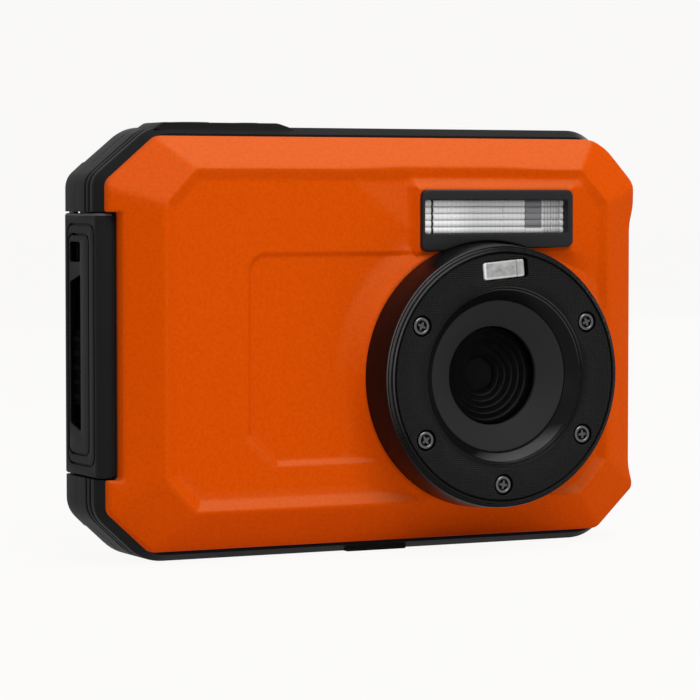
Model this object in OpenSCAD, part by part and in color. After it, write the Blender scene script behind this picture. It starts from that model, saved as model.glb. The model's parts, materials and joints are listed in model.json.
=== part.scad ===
// Rugged compact camera: faceted front cover, bumper frame, bolted lens ring and side door.
// Millimetres. +X is to the right seen from the front, -Y is the way the lens looks, +Z is up.
// The origin is under the middle of the body, on the plane it stands on. Y = 0 is the cover seam.

/* [Body] */
// Overall width across the bumpers
body_w = 98.8; // [96:0.2:106]
// Height of the bumper frame
body_h = 69.6; // [68:0.2:76]
// Depth of the bumper frame behind the cover seam
frame_d = 9.4; // [9.2:0.1:11]
// Depth of the rear cover
rear_d = 5.8; // [4.4:0.1:6]
// Thickness of the frame's top and bottom walls
frame_wall = 3.4; // [3:0.1:4]
// Thickness of the wall behind the side door
bay_wall = 1.6; // [1.4:0.1:2]
// Depth of the bumper grooves
groove_depth = 0.8; // [0.4:0.1:1]
// Height of the raised pad round the top buttons
pad_h = 0.6; // [0.3:0.1:1.2]
// Thickness of the rear cover's back wall
rear_wall = 1.4; // [1.2:0.1:1.8]
// How far the rear rim stands behind the back wall
rear_rim = 0.6; // [0.4:0.1:1]

/* [Front cover] */
// Width of the orange front cover
cover_w = 96.5; // [95:0.1:97.5]
// Height of the orange front cover
cover_h = 66; // [64:0.1:67]
// Depth of the straight edge round the cover
cover_side = 1.5; // [1:0.1:2]
// Distance of the bevel rim in front of the seam
rim_front = 6.3; // [6:0.1:7]
// Width of the side bevels
bevel_side = 7.75; // [6:0.05:9]
// Width of the top bevel
bevel_top = 5; // [4:0.1:6]
// Width of the bottom bevel
bevel_bottom = 6.35; // [5:0.05:7]
// Depth of the recessed main face below the rim
face_drop = 0.7; // [0.3:0.1:1]
// Depth of the grip panel below the main face
panel_drop = 0.4; // [0.2:0.1:0.6]
// Thickness of the front wall under the grip panel
front_wall = 1.5; // [1.2:0.1:2]
// Depth of the notch that takes the side door
door_notch = 2; // [1.6:0.1:2.2]
// Depth of the waist on the other side
waist_notch = 1.2; // [0.8:0.1:1.6]

/* [Lens] */
// Lens axis to the right of the middle
lens_x = 16.2; // [14:0.1:18]
// Lens axis above the lower edge of the cover
lens_z = 27.1; // [25.7:0.1:28.2]
// Distance of the lens ring's front in front of the seam
ring_front = 14; // [13.4:0.1:16]
// Radius of the ring at its foot
ring_foot_r = 21.9; // [21.5:0.1:22.5]
// Radius of the ring's flat front at its outer edge
ring_edge_r = 20.1; // [19.6:0.1:20.6]
// Radius of the ring's flat front at its inner edge
ring_inner_r = 14.9; // [14.5:0.1:15.3]
// Radius of the circle of ring screws
ring_screw_circle_r = 17.5; // [17.2:0.1:17.8]
// Radius of a ring screw head
ring_screw_head_r = 1.5; // [1.3:0.1:1.7]
// Radius of the trim dish
dish_r = 12.4; // [12:0.1:13]
// Radius of the aperture in the trim dish
aperture_r = 7.9; // [7.4:0.1:8.2]
// Radius of the front lens element
front_lens_r = 3.2; // [2.8:0.1:3.6]
// Number of steps in the light baffle
baffle_steps = 5; // [3:1:7]
// Radius of the lens barrel
barrel_r = 8.8; // [8.6:0.1:9.2]

/* [Flash and lamp] */
// Width of the flash bezel
bezel_w = 28.4; // [26:0.1:29]
// Height of the flash bezel
bezel_h = 9.8; // [9.4:0.1:10.4]
// Flash bezel centre to the right of the middle
bezel_x = 18.5; // [17.5:0.1:19]
// Top of the flash bezel below the top of the cover
bezel_below_top = 8.5; // [8:0.1:9]
// Width of the flash window
flash_w = 26; // [22:0.1:26.4]
// Height of the flash window
flash_h = 5.4; // [4.8:0.1:5.8]
// Width of the lamp window
lamp_w = 8; // [6:0.1:9]
// Height of the lamp window
lamp_h = 3.7; // [3:0.1:4.2]

/* [Side door] */
// Lower end of the door opening above the lower edge of the cover
door_lo = 11.7; // [10.7:0.1:12.2]
// Upper end of the door opening above the lower edge of the cover
door_hi = 54; // [53.6:0.1:55.2]
// Thickness of the door
door_t = 2.4; // [2.2:0.1:2.6]
// Radius of the hinge barrel
hinge_r = 1.4; // [1.3:0.05:1.5]
// Radius of the hinge pin
hinge_pin_r = 0.75; // [0.6:0.05:0.8]
// How far the latch slides
latch_travel = 3.2; // [2.5:0.1:3.5]
// How far the lock slides
lock_travel = 1.6; // [1:0.1:1.8]

/* [Controls] */
// Radius of the shutter button
shutter_r = 3.4; // [3:0.1:3.6]
// Radius of the power button
power_r = 2.2; // [1.8:0.1:2.6]
// Travel of the top buttons
button_travel = 0.7; // [0.5:0.1:0.8]
// Radius of a rear key
key_r = 2.3; // [2:0.1:2.5]
// Travel of a rear key
key_travel = 0.6; // [0.4:0.1:0.7]
// Distance from the OK key to the keys round it
key_pitch = 6.2; // [6:0.1:6.8]
// Length of the zoom rocker
rocker_l = 11.6; // [10:0.1:12]
// Width of the zoom rocker
rocker_w = 4.6; // [4:0.1:5]

/* [Inside] */
// Length of the battery
battery_l = 38; // [30:0.5:40]
// Height of the battery
battery_h = 30.6; // [28:0.1:30.8]
// Thickness of the battery
battery_t = 3.95; // [3.6:0.05:4.1]
// Width of the display window
lcd_w = 56; // [50:0.5:60]
// Height of the display window
lcd_h = 42; // [38:0.5:44]
// Radius of the thread wall of the tripod bush
tripod_r = 2.6; // [2.5:0.05:3.2]
// Length of the thread in the tripod bush
tripod_depth = 5.5; // [4.5:0.1:6]
// Radius of the strap bar
strap_bar_r = 0.9; // [0.7:0.1:1.1]

/* [Hidden] */
$fn = 96;
// Facets of the large arcs that shape a lens element
lens_fn = 480;
// Thin slice that starts a hull or joins two solids, and overrun of a cut
skin = 0.02;
cut = 1;
// Gaps: fixed together, pushed in once, sliding in a hole, moving past, and room round what is inside
seat_gap = 0.05;
fit_gap = 0.1;
slip_gap = 0.15;
move_gap = 0.25;
room_gap = 0.3;

// Bumper frame and rear cover
half_w = body_w / 2;
rear_y = frame_d + rear_d;
origin_y = (ring_front - rear_y) / 2;
side_wall = 4.3;
frame_side = half_w - side_wall;
frame_top_cut = [9.9, 8.4];
frame_bottom_cut = [8.5, 7.8];
hollow_top_cut = [7, 6.2];
hollow_bottom_cut = [6.4, 6];
frame_front_chamfer = 0.9;
frame_chamfer_d = 2;
frame_grooves = [[3.3, 3.9], [4.9, 5.5]];
rear_chamfer = 1.2;
rear_chamfer_d = 2;
rear_rim_w = 3.2;
rear_rim_left = 1.2;
rear_side_step = 0.4;
back_face_y = rear_y - rear_rim;
back_inner_y = back_face_y - rear_wall;

// Front cover
cover_lo = (body_h - cover_h) / 2;
cover_hi = cover_lo + cover_h;
cover_top_cut = [8.5, 7.2];
cover_bottom_cut = [7.2, 6.6];
rim_cut = [5.2, 5.5];
rim_half_w = cover_w / 2 - bevel_side;
rim_lo = cover_lo + bevel_bottom;
rim_hi = cover_hi - bevel_top;
rim_land = 0.3;
face_wall = 1.6;
face_front = rim_front - face_drop;
panel_front = face_front - panel_drop;
cavity_front = panel_front - front_wall;
cavity_inset = 2;
cavity_side = 4.1;
cavity_top_cut = [7.5, 6.6];
cavity_bottom_cut = [6.6, 6];
boss_rise = 1.1;
boss_front = face_front + boss_rise;
boss_gap = 0.4;
boss_r = ring_foot_r + boss_gap;
boss_flare = 3.4;
panel_in = 22.25;
panel_x0 = panel_in - cover_w / 2;
panel_under_lens = 10;
panel_x1 = lens_x - panel_under_lens;
panel_up = 13.4;
panel_lo = cover_lo + panel_up;
panel_down = 18.5;
panel_hi = cover_hi - panel_down;
panel_wall = 0.9;
panel_top_r = 3.3;
panel_bottom_r = 5;

// Chain of pieces behind the seam
bay_front_wall = 1.2;
battery_y = bay_front_wall + slip_gap;
bay_back_y = battery_y + battery_t + fit_gap;
bay_back_wall = 0.35;
card_socket_y = bay_back_y + bay_back_wall;
card_socket_t = 1.25;
board_y = card_socket_y + card_socket_t;
board_t = 1;
board_back = board_y + board_t;
dome_h = 0.5;

// Lens stack, as distances in front of the seam and radii round the lens axis
lens_axis_z = cover_lo + lens_z;
ring_chamfer = 0.8;
ring_edge_flare = 0.6;
ring_shoulder_r = ring_edge_r + ring_edge_flare;
ring_lip_w = 0.4;
ring_groove_w = 0.35;
ring_groove_d = 0.3;
ring_step = [0.35, 0.45];
ring_ledge = [0.5, 0.1];
dish_seat = 2.35;
dish_front = ring_front - dish_seat;
dish_rim_t = 1.15;
dish_drop = 2.1;
dish_lip_t = 0.6;
dish_ledge = dish_front - dish_rim_t;
ring_bore_r = 10.2;
ring_dish_bore_r = dish_r + seat_gap;
glass_t = 1;
glass_gap = 0.4;
glass_r = ring_bore_r - glass_gap;
glass_front = dish_front - dish_drop - dish_lip_t - seat_gap;
flange_front = glass_front - glass_t;
barrel_flange_r = 10;
barrel_bore_r = 6.4;
baffle_r = 8;
baffle_depth = 2.6;
baffle_margin = 0.5;
barrel_gap = 0.2;
cover_bore_r = barrel_r + barrel_gap;
lens_rim = 0.4;
front_lens_t = 1.8;
front_lens_front = flange_front - baffle_depth;
front_lens_crown = 0.5;
stop_r = 2.4;
stop_t = 0.6;
rear_lens_r = barrel_bore_r - seat_gap;
rear_lens_front = 1.2;
rear_lens_t = 2.4;
rear_lens_crown = 0.7;
sensor_w = 13.2;
sensor_h = 11.2;
sensor_t = 1;
sensor_board_w = 20;
sensor_board_h = 18;
sensor_board_t = 0.8;
sensor_board_y = board_y - 2 * fit_gap - sensor_board_t;
sensor_y = sensor_board_y - sensor_t;
filter_t = 0.6;
filter_w = 8;
gasket_r = [11.2, 12.6];
gasket_h = 0.7;
ring_screw_angles = [30, 150, 210, 270, 330];
ring_screw_shank_r = 0.8;
ring_screw_hole_r = ring_screw_shank_r + seat_gap;
ring_head_gap = 0.22;
ring_head_recess_r = ring_screw_head_r + ring_head_gap;
ring_head_recess_d = 0.9;
ring_head_h = 0.85;
ring_screw_bite = 1.8;
lamp_in = 2.1;
lamp_place_r = ring_inner_r + lamp_in;
lamp_corner = 0.5;
lamp_depth = 2.4;
lamp_t = 1.2;
lamp_led_h = 0.9;
lamp_led_w = 2.4;

// Flash
bezel_rise = 1;
bezel_front = boss_front + bezel_rise;
bezel_hi = cover_hi - bezel_below_top;
bezel_lo = bezel_hi - bezel_h;
bezel_mid = (bezel_lo + bezel_hi) / 2;
bezel_step = 0.8;
bezel_rail = 1;
bezel_corner = 1;
bezel_open_w = bezel_w - 2 * bezel_step - 2 * bezel_rail;
bezel_pad = 1.2;
bezel_pad_flare = [9, 7];
bezel_pad_corner = 2;
flash_below = 1.8;
flash_z = bezel_hi - flash_below - flash_h / 2;
flash_set = 0.25;
flash_t = bezel_rise - flash_set - seat_gap;
flash_lip = 0.5;
flash_corner = 0.5;
flash_bands = 5;
flash_bulge = 0.2;
bezel_open_h = flash_h - flash_lip;
reflector_r = bezel_open_h / 2 - seat_gap;
reflector_t = 0.4;
reflector_end = 0.6;
reflector_mouth = 1.2;
tube_r = 0.8;
tube_end = 0.4;
reflector_y = -(bezel_front - flash_set - flash_t - reflector_r - seat_gap);
reflector_half = bezel_open_w / 2 - 2 * tube_end;
capacitor_r = 3.4;
capacitor_l = 24;
capacitor_left = 27.5;
capacitor_x = bezel_x - capacitor_left;

// Side door and hinge
door_z0 = cover_lo + door_lo;
door_z1 = cover_lo + door_hi;
waist_end = [1.1, 2.4];
waist_z = [door_z0 - waist_end[0], door_z1 - waist_end[1]];
waist_slope = 3;
door_x = -half_w;
door_inner_x = door_x + door_t;
frame_door_x = door_inner_x + room_gap;
bay_inner_x = frame_door_x + bay_wall;
notch_x = max(door_notch - cover_w / 2, door_inner_x + move_gap);
hinge_x = door_x + hinge_r;
hinge_in = 0.2;
hinge_y = rear_y - hinge_r - hinge_in;
hinge_hole_r = hinge_pin_r + seat_gap;
hinge_bite = 3.5;
rear_left_x = door_x + 2 * hinge_r + room_gap;
door_front_y = -0.5;
door_nose_r = 2;
seal_w = 0.55;
seal_proud = 0.22;
seal_set = 0.6;
seal_end = 0.7;
seal_y = [0.35, board_y + seal_w];
seal_z = [door_z0 + seal_end, door_z1 - seal_end];
door_groove_in = [2.4, 0.8];
door_groove_y = [door_groove_in[0], hinge_y - door_groove_in[1]];
door_groove_end = 2.7;
door_groove_w = 0.6;
door_groove_d = 0.4;
door_groove_r = 1.2;
latch_from_hinge = [6.1, 1.7];
latch_y = [hinge_y - latch_from_hinge[0], hinge_y - latch_from_hinge[1]];
latch_end = [7.3, 10];
latch_z = [door_z0 + latch_end[0], door_z1 - latch_end[1]];
latch_set = 1.3;
latch_slant = 1.2;
slider_l = 12;
slider_up = 4;
slider_z = latch_z[0] + slider_up;
slider_top_set = 0.35;
rib_h = 0.35;
rib_w = 0.9;
rib_pitch = 2.3;
rib_start = 1;
rib_count = 5;
hook_w = 0.6;
hook_l = 3;
hook_up = 2;
hook_z = slider_z + hook_up;
hook_in = 0.9;
hook_y = frame_d - hook_in;
hook_head_w = 1;
hook_head_t = 0.5;
keeper_t = 0.5;
hook_head_x = frame_door_x + keeper_t + fit_gap;
entry_in = [1.85, 0.3];
entry_y = [frame_d - entry_in[0], frame_d - entry_in[1]];
hook_room = 0.4;
lock_down = [8, 4.8];
lock_z = [door_z1 - lock_down[0], door_z1 - lock_down[1]];
lock_set = 1;
lock_w = 2.2;
lock_plate_set = 0.45;
lock_rib_set = 0.1;
lock_rib_w = 0.6;
lock_end_gap = 0.2;
lock_y = [latch_y[1] - 2 * move_gap - lock_w - lock_travel, latch_y[1]];

// Battery bay and what is in it
bay_above_door = 1.8;
bay_rib = 0.6;
bay_flange_t = 1.1;
bay_flange_w = 2;
bay_lo = door_z0 + bay_above_door;
bay_hi = bay_lo + battery_h + 2 * slip_gap;
bay_end_x = bay_inner_x + battery_l;
battery_end = 0.6;
contact_z = 6;
contact_pitch = 4;
contact_h = 1.4;
contact_y = [0.8, 2.6];
contact_l = 0.5;
usb_h = 7.2;
usb_t = 2.4;
usb_l = 5.4;
usb_wall = 0.3;
usb_tongue_set = 0.9;
usb_tongue_end = 1.4;
usb_z = bay_hi + bay_rib + seat_gap;
usb_y = board_y - fit_gap - usb_t;
usb_x = frame_door_x + room_gap;
card_w = 11;
card_l = 15;
card_t = 0.7;
card_out = 0.8;
card_up = 14.6;
card_z = bay_lo + card_up;
card_y = card_socket_y + room_gap;
card_socket_wall = 0.8;
card_socket_set = 0.2;

// Screws through the rear cover
post_in = [4.6, 5];
post_x = frame_side - post_in[0];
post_z = [frame_wall + post_in[1], body_h - frame_wall - post_in[1]];
post_r = 2.4;
post_shoulder_r = 3.3;
cover_screw_r = 0.95;
cover_screw_hole_r = cover_screw_r + fit_gap;
cover_screw_bite = 2.8;
cover_screw_head_r = 1.9;
cover_screw_head_h = 1.2;
cover_screw_sink = 1.4;
cover_screw_head_y = back_face_y - cover_screw_sink;
thread_gap = 0.02;

// Top buttons
pad_in = [10.1, 33.2];
pad_x = [pad_in[0] - half_w, pad_in[1] - half_w];
pad_slope = 1.4;
pad_y0 = 1.2;
button_back = 0.6;
button_y = frame_d / 2 + button_back;
shutter_in = 18;
shutter_x = shutter_in - half_w;
power_in = 28;
power_x = power_in - half_w;
button_cap_t = 0.7;
button_pocket = button_cap_t + button_travel + room_gap;
button_stem_r = 1.2;
button_top = body_h + pad_h - fit_gap;
stem_end = body_h - frame_wall + room_gap;
switch_h = 0.8;
switch_w = 3;
switch_dome_r = 0.8;
switch_dome_h = 0.3;
switch_top = stem_end - button_travel - slip_gap;
top_board_t = 0.8;
top_board_end = [5, 4];
top_board_front = 3;

// Rear keys and zoom rocker
key_flange_t = 0.9;
key_flange_w = 0.4;
key_proud = rear_rim - fit_gap;
key_stem_r = 1.1;
key_stem_y = board_back + dome_h + key_travel + fit_gap;
dome_r = 1.6;
key_in = 16;
key_x = key_in - half_w;
key_z = body_h / 2;
menu_key_dx = 5.4;
menu_key_gap = 2.2;
menu_key_z = post_z[0] + post_shoulder_r + key_r + key_flange_w + menu_key_gap;
KEYS = [[key_x, key_z + key_pitch], [key_x, key_z - key_pitch], [key_x + key_pitch, key_z],
        [key_x - key_pitch, key_z], [key_x, key_z], [key_x - menu_key_dx, menu_key_z],
        [key_x + menu_key_dx, menu_key_z]];
rocker_in = 19.8;
rocker_x = rocker_in - half_w;
rocker_down = 10.6;
rocker_z = body_h - rocker_down;
rocker_pin_r = 0.45;
rocker_pin_bite = 1.6;
rocker_y = back_face_y - rear_wall / 2;
rocker_behind = 0.6;
rocker_back_y = back_inner_y - rocker_behind;
rocker_proud = 0.2;
rocker_top_y = back_face_y + rocker_proud;
rocker_foot_x = rocker_l / 3;
rocker_foot_r = 0.8;
rocker_foot_gap = 0.6;
rocker_foot_y = board_back + dome_h + rocker_foot_gap;
rocker_dome_r = 1.3;

// Display
lcd_margin = 6.6;
lcd_x = half_w - lcd_margin - lcd_w / 2;
lcd_z = body_h / 2;
lcd_corner = 2;
lcd_glass_t = 1;
lcd_ledge = 1.5;
lcd_panel_end = 1.8;
lcd_panel_t = 2.8;
lcd_panel_y = back_inner_y - 2 * fit_gap - lcd_panel_t;

// Base, strap and seam gaskets
tripod_y = frame_d / 2;
bush_r = 4.2;
bush_floor = 1;
bush_h = tripod_depth + bush_floor;
tripod_block_w = 5.4;
tripod_block_end = 0.4;
tripod_block_roof = 0.9;
tripod_block_h = bush_h + tripod_block_roof;
strap_z = body_h / 2;
strap_half = 6;
strap_bite = 2;
strap_y = [1.7, 6];
strap_bar_y = (strap_y[0] + strap_y[1]) / 2;
strap_depth = 6;
strap_floor_x = half_w - strap_depth;
strap_bar_in = 2.2;
strap_bar_x = half_w - strap_bar_in;
strap_block_wall = 1.2;
gasket_w = 0.8;
gasket_t = 0.8;
gasket_top_cut = [7.2, 6.6];
gasket_bottom_cut = [6.6, 6.2];
front_gasket_in = [3.1, 1.15];
front_gasket_side = half_w - front_gasket_in[0];
front_gasket_wall = frame_wall - front_gasket_in[1];
rear_gasket_in = [3.5, 1.3];
rear_gasket_side = half_w - rear_gasket_in[0];
rear_gasket_wall = frame_wall - rear_gasket_in[1];

// Corner cut of an outline that is moved inwards by d, so that its edges stay parallel
function inset_cut(c, d) =
    let (k = c[0] + c[1] - norm(c))
    [c[0] - d * k / c[1], c[1] - d * k / c[0]];

// Outline with four cut corners, drawn in X and Z, moved inwards by d
module outline(hw, lo, hi, top, bottom, d = 0) {
    t = inset_cut(top, d);
    b = inset_cut(bottom, d);
    w = hw - d;
    polygon([[-w, lo + d + b[1]], [-w + b[0], lo + d], [w - b[0], lo + d], [w, lo + d + b[1]],
             [w, hi - d - t[1]], [w - t[0], hi - d], [-w + t[0], hi - d], [-w, hi - d - t[1]]]);
}

module frame_outline(d = 0) outline(half_w, 0, body_h, frame_top_cut, frame_bottom_cut, d);
module cover_outline(d = 0) outline(cover_w / 2, cover_lo, cover_hi, cover_top_cut, cover_bottom_cut, d);
module rim_outline(d = 0) outline(rim_half_w, rim_lo, rim_hi, rim_cut, rim_cut, d);

// Hollow of the frame and the rear cover, whose sides stand further in than its top and bottom
module hollow_outline(side, wall) {
    outline(side, wall, body_h - wall, hollow_top_cut, hollow_bottom_cut);
}

// An outline in X and Z, extruded from y0 to y1
module slab(y0, y1) translate([0, y1, 0]) rotate([90, 0, 0]) linear_extrude(y1 - y0) children();

// A box between two corners
module box(x0, x1, y0, y1, z0, z1) translate([x0, y0, z0]) cube([x1 - x0, y1 - y0, z1 - z0]);

// A round bar along X, one along Y and one along Z
module bar_x(y, z, x0, x1, r) translate([x0, y, z]) rotate([0, 90, 0]) cylinder(h = x1 - x0, r = r);
module bar_y(x, z, y0, y1, r) translate([x, y0, z]) rotate([-90, 0, 0]) cylinder(h = y1 - y0, r = r);
module bar_z(x, y, z0, z1, r) translate([x, y, z0]) cylinder(h = z1 - z0, r = r);

// A profile of radius and distance in front of the seam, turned about the lens axis
module turned() translate([lens_x, 0, lens_axis_z]) rotate([90, 0, 0]) rotate_extrude() children();

// Children repeated at the ring screws and at the cover screws
module at_ring_screws() {
    for (a = ring_screw_angles)
        translate([lens_x + ring_screw_circle_r * cos(a), 0, lens_axis_z + ring_screw_circle_r * sin(a)])
            children();
}
module at_posts() {
    for (x = [-post_x, post_x])
        for (z = post_z)
            translate([x, 0, z]) children();
}

// Waist at the right side, from an edge outwards, with sloped ends
module waist(edge) {
    far = edge + 2 * waist_notch;
    run = 2 * waist_slope;
    polygon([[edge, waist_z[0]], [far, waist_z[0] - run], [far, waist_z[1] + run], [edge, waist_z[1]]]);
}

// Outline of the grip panel, moved inwards by d, with a round upper corner and a blunt lower one
module panel_outline(d = 0) {
    r = panel_top_r;
    cx = panel_x0 + d + r;
    cz = panel_hi - d - r;
    arc = [for (a = [90 : 18 : 180]) [cx + r * cos(a), cz + r * sin(a)]];
    polygon(concat(arc, [[panel_x0 + d, panel_lo + d + panel_bottom_r],
                         [panel_x0 + d + panel_bottom_r, panel_lo + d],
                         [panel_x1, panel_lo + d], [panel_x1, panel_hi - d]]));
}

// Rectangle with round corners, about a centre
module round_rect(x, z, w, h, r) {
    translate([x - w / 2 + r, z - h / 2]) square([w - 2 * r, h]);
    translate([x - w / 2, z - h / 2 + r]) square([w, h - 2 * r]);
    for (i = [-1, 1])
        for (j = [-1, 1])
            translate([x + i * (w / 2 - r), z + j * (h / 2 - r)]) circle(r);
}

// Faceted body of the cover, whose bevels run on to a flat at the given distance
module faceted_body(front) {
    k = (front - rim_front) / (rim_front - cover_side);
    hull() {
        slab(-cover_side, 0) cover_outline();
        slab(-front, skin - front)
            outline(rim_half_w - k * bevel_side, rim_lo + k * bevel_bottom, rim_hi - k * bevel_top,
                    rim_cut, rim_cut);
    }
}

// Faceted body with its recessed face, grip panel and cavity
module faceted_shell() {
    difference() {
        faceted_body(rim_front);
        hull() {
            slab(-rim_front - skin, -rim_front) rim_outline(rim_land);
            slab(-face_front - skin, -face_front) rim_outline(rim_land + face_wall);
        }
        hull() {
            slab(-face_front - skin, -face_front) panel_outline();
            slab(-panel_front - skin, -panel_front) panel_outline(panel_wall);
        }
        hull() {
            slab(-skin, cut)
                outline(cover_w / 2 - cavity_side, cover_lo + cavity_inset, cover_hi - cavity_inset,
                        cavity_top_cut, cavity_bottom_cut);
            slab(-cavity_front, skin - cavity_front) rim_outline(cavity_inset);
        }
    }
}

// Raised seat of the lens ring, and the pad round the flash that runs into it
module lens_boss() {
    turned() polygon([[0, cavity_front], [boss_r + boss_flare, cavity_front],
                      [boss_r + boss_flare, face_front], [boss_r, boss_front], [0, boss_front]]);
    hull() {
        slab(-boss_front, skin - boss_front)
            round_rect(bezel_x, bezel_mid, bezel_w + bezel_pad, bezel_h + bezel_pad, bezel_pad);
        slab(-face_front, -cavity_front)
            round_rect(bezel_x, bezel_mid, bezel_w + bezel_pad_flare[0], bezel_h + bezel_pad_flare[1],
                       bezel_pad_corner);
    }
}

module front_cover() color("orangered") {
    difference() {
        union() {
            faceted_shell();
            intersection() {
                faceted_body(boss_front);
                lens_boss();
            }
            turned() translate([0, cavity_front]) square([boss_r, boss_front - cavity_front]);
            intersection() {
                faceted_body(rim_front);
                at_posts() bar_y(0, 0, -cavity_front - skin, 0, post_r);
            }
        }
        box(-half_w - cut, notch_x, -rim_front - cut, cut, door_z0, door_z1);
        slab(-rim_front - cut, cut) waist(cover_w / 2 - waist_notch);
        bar_y(lens_x, lens_axis_z, -boss_front - cut, cut, cover_bore_r);
        at_ring_screws() bar_y(0, 0, -boss_front - cut, ring_screw_bite - boss_front, ring_screw_shank_r);
        at_posts() bar_y(0, 0, -cover_screw_bite, cut, cover_screw_r);
        slab(-boss_front - cut, cut)
            round_rect(bezel_x, bezel_mid, bezel_w - 2 * bezel_step, bezel_h - 2 * bezel_step, bezel_corner);
    }
}

// Bands of the bumper frame from the seam back, with its grooves
module frame_bands() {
    difference() {
        union() {
            hull() {
                slab(0, skin) frame_outline(frame_front_chamfer);
                slab(frame_chamfer_d, frame_chamfer_d + skin) frame_outline();
            }
            slab(frame_chamfer_d, frame_d) frame_outline();
        }
        for (g = frame_grooves)
            slab(g[0], g[1]) difference() {
                frame_outline(-cut);
                frame_outline(groove_depth);
            }
    }
}

module button_pad() {
    slab(pad_y0, frame_d)
        polygon([[pad_x[0] - pad_slope, body_h - pad_h], [pad_x[0], body_h + pad_h],
                 [pad_x[1], body_h + pad_h], [pad_x[1] + pad_slope, body_h],
                 [pad_x[1] + pad_slope, body_h - pad_h]]);
}

// Outer form behind the frame, from y0 to the chamfered back
module rear_body(y0) {
    slab(y0, rear_y - rear_chamfer_d) frame_outline();
    hull() {
        slab(rear_y - rear_chamfer_d - skin, rear_y - rear_chamfer_d) frame_outline();
        slab(rear_y - skin, rear_y) frame_outline(rear_chamfer);
    }
}

// Ends of the frame above and below the door, which reach to the back and hold the hinge pin
module hinge_ears() {
    intersection() {
        rear_body(frame_d - skin);
        box(-half_w - cut, rear_left_x - seat_gap, 0, rear_y + cut, -cut, body_h + cut);
    }
}

// Hole of the hinge pin, and the pin
module hinge_rod() bar_z(hinge_x, hinge_y, door_z0 - hinge_bite, door_z1 + hinge_bite, hinge_pin_r);

// Hole of the strap bar, and the bar
module strap_rod() {
    reach = strap_half + strap_bite;
    bar_z(strap_bar_x, strap_bar_y, strap_z - reach, strap_z + reach, strap_bar_r);
}

// Six-sided bush of the tripod thread, and the hole that takes it
module bush_body(z0) translate([0, tripod_y, z0]) cylinder(h = bush_h - z0, r = bush_r, $fn = 6);

// Ring between two outlines of the seam, for a gasket
module gasket_ring(y0, y1, side, wall) {
    slab(y0, y1) difference() {
        outline(side, wall, body_h - wall, gasket_top_cut, gasket_bottom_cut);
        outline(side, wall, body_h - wall, gasket_top_cut, gasket_bottom_cut, gasket_w);
    }
}
module front_gasket_ring(over) gasket_ring(-over, gasket_t, front_gasket_side, front_gasket_wall);
module rear_gasket_ring(over) {
    gasket_ring(frame_d - over, frame_d + gasket_t, rear_gasket_side, rear_gasket_wall);
}

module mid_frame() color("#26272a") {
    difference() {
        union() {
            difference() {
                union() {
                    frame_bands();
                    button_pad();
                    hinge_ears();
                }
                slab(-cut, rear_y) hollow_outline(frame_side, frame_wall);
                box(-half_w - cut, skin - frame_side, -cut, rear_y + cut, door_z0, door_z1);
                slab(-cut, rear_y) waist(half_w - waist_notch);
            }
            at_posts() bar_y(0, 0, 0, board_y, post_shoulder_r);
            at_posts() bar_y(0, 0, board_y - skin, frame_d, post_r);
            box(-tripod_block_w, tripod_block_w, tripod_block_end, frame_d - tripod_block_end,
                0, tripod_block_h);
            box(strap_floor_x - strap_block_wall, frame_side + skin, strap_y[0] - strap_block_wall,
                strap_y[1] + strap_block_wall, strap_z - strap_half - strap_block_wall,
                strap_z + strap_half + strap_block_wall);
        }
        bush_body(-cut);
        hinge_rod();
        front_gasket_ring(cut);
        at_posts() bar_y(0, 0, -cut, rear_y, cover_screw_hole_r);
        box(strap_floor_x, half_w + cut, strap_y[0], strap_y[1], strap_z - strap_half, strap_z + strap_half);
        strap_rod();
        for (b = [[shutter_x, shutter_r], [power_x, power_r]]) {
            bar_z(b[0], button_y, button_top - button_pocket, body_h + pad_h + cut, b[1] + slip_gap);
            bar_z(b[0], button_y, body_h - frame_wall - cut, body_h, button_stem_r + slip_gap);
        }
    }
}

// Keyhole pocket for the latch hook: open where the head goes in, narrow where it locks
module latch_pocket() {
    z0 = hook_z - hook_room;
    z1 = hook_z + hook_l + hook_room;
    end_x = hook_head_x + hook_head_t + slip_gap;
    neck = hook_w / 2 + slip_gap;
    head = hook_head_w / 2 + slip_gap;
    box(frame_door_x - cut, end_x, entry_y[0], entry_y[1], z0, z1);
    box(frame_door_x - cut, end_x, hook_y - neck, hook_y + neck, z0, z1 + latch_travel);
    box(hook_head_x - fit_gap, end_x, hook_y - head, hook_y + head, z0, z1 + latch_travel);
}

// Moulding that fills the door opening: sill for the door's seal, and the battery bay behind it
module battery_bay() color("#303134") {
    sill_lo = door_z0 + seat_gap;
    sill_hi = door_z1 - seat_gap;
    flange_x = bay_inner_x + bay_flange_t;
    difference() {
        union() {
            box(frame_door_x, bay_inner_x, 0, frame_d, sill_lo, sill_hi);
            box(bay_inner_x - skin, flange_x, 0, card_socket_y, sill_lo, sill_hi);
            box(seat_gap - frame_side, flange_x, 0, card_socket_y, door_z0 - bay_flange_w,
                door_z1 + bay_flange_w);
            box(frame_door_x, bay_end_x + bay_rib, 0, card_socket_y, bay_lo - bay_rib, bay_hi + bay_rib);
        }
        box(frame_door_x - cut, bay_end_x, bay_front_wall, bay_back_y, bay_lo, bay_hi);
        front_gasket_ring(cut);
        latch_pocket();
        box(frame_door_x - cut, flange_x + cut, usb_y - fit_gap, board_y - seat_gap, usb_z - fit_gap,
            usb_z + usb_h + fit_gap);
        box(frame_door_x - cut, bay_inner_x + cut, card_y - fit_gap, card_y + card_t + fit_gap,
            card_z - 2 * fit_gap, card_z + card_w + 2 * fit_gap);
    }
}

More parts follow.
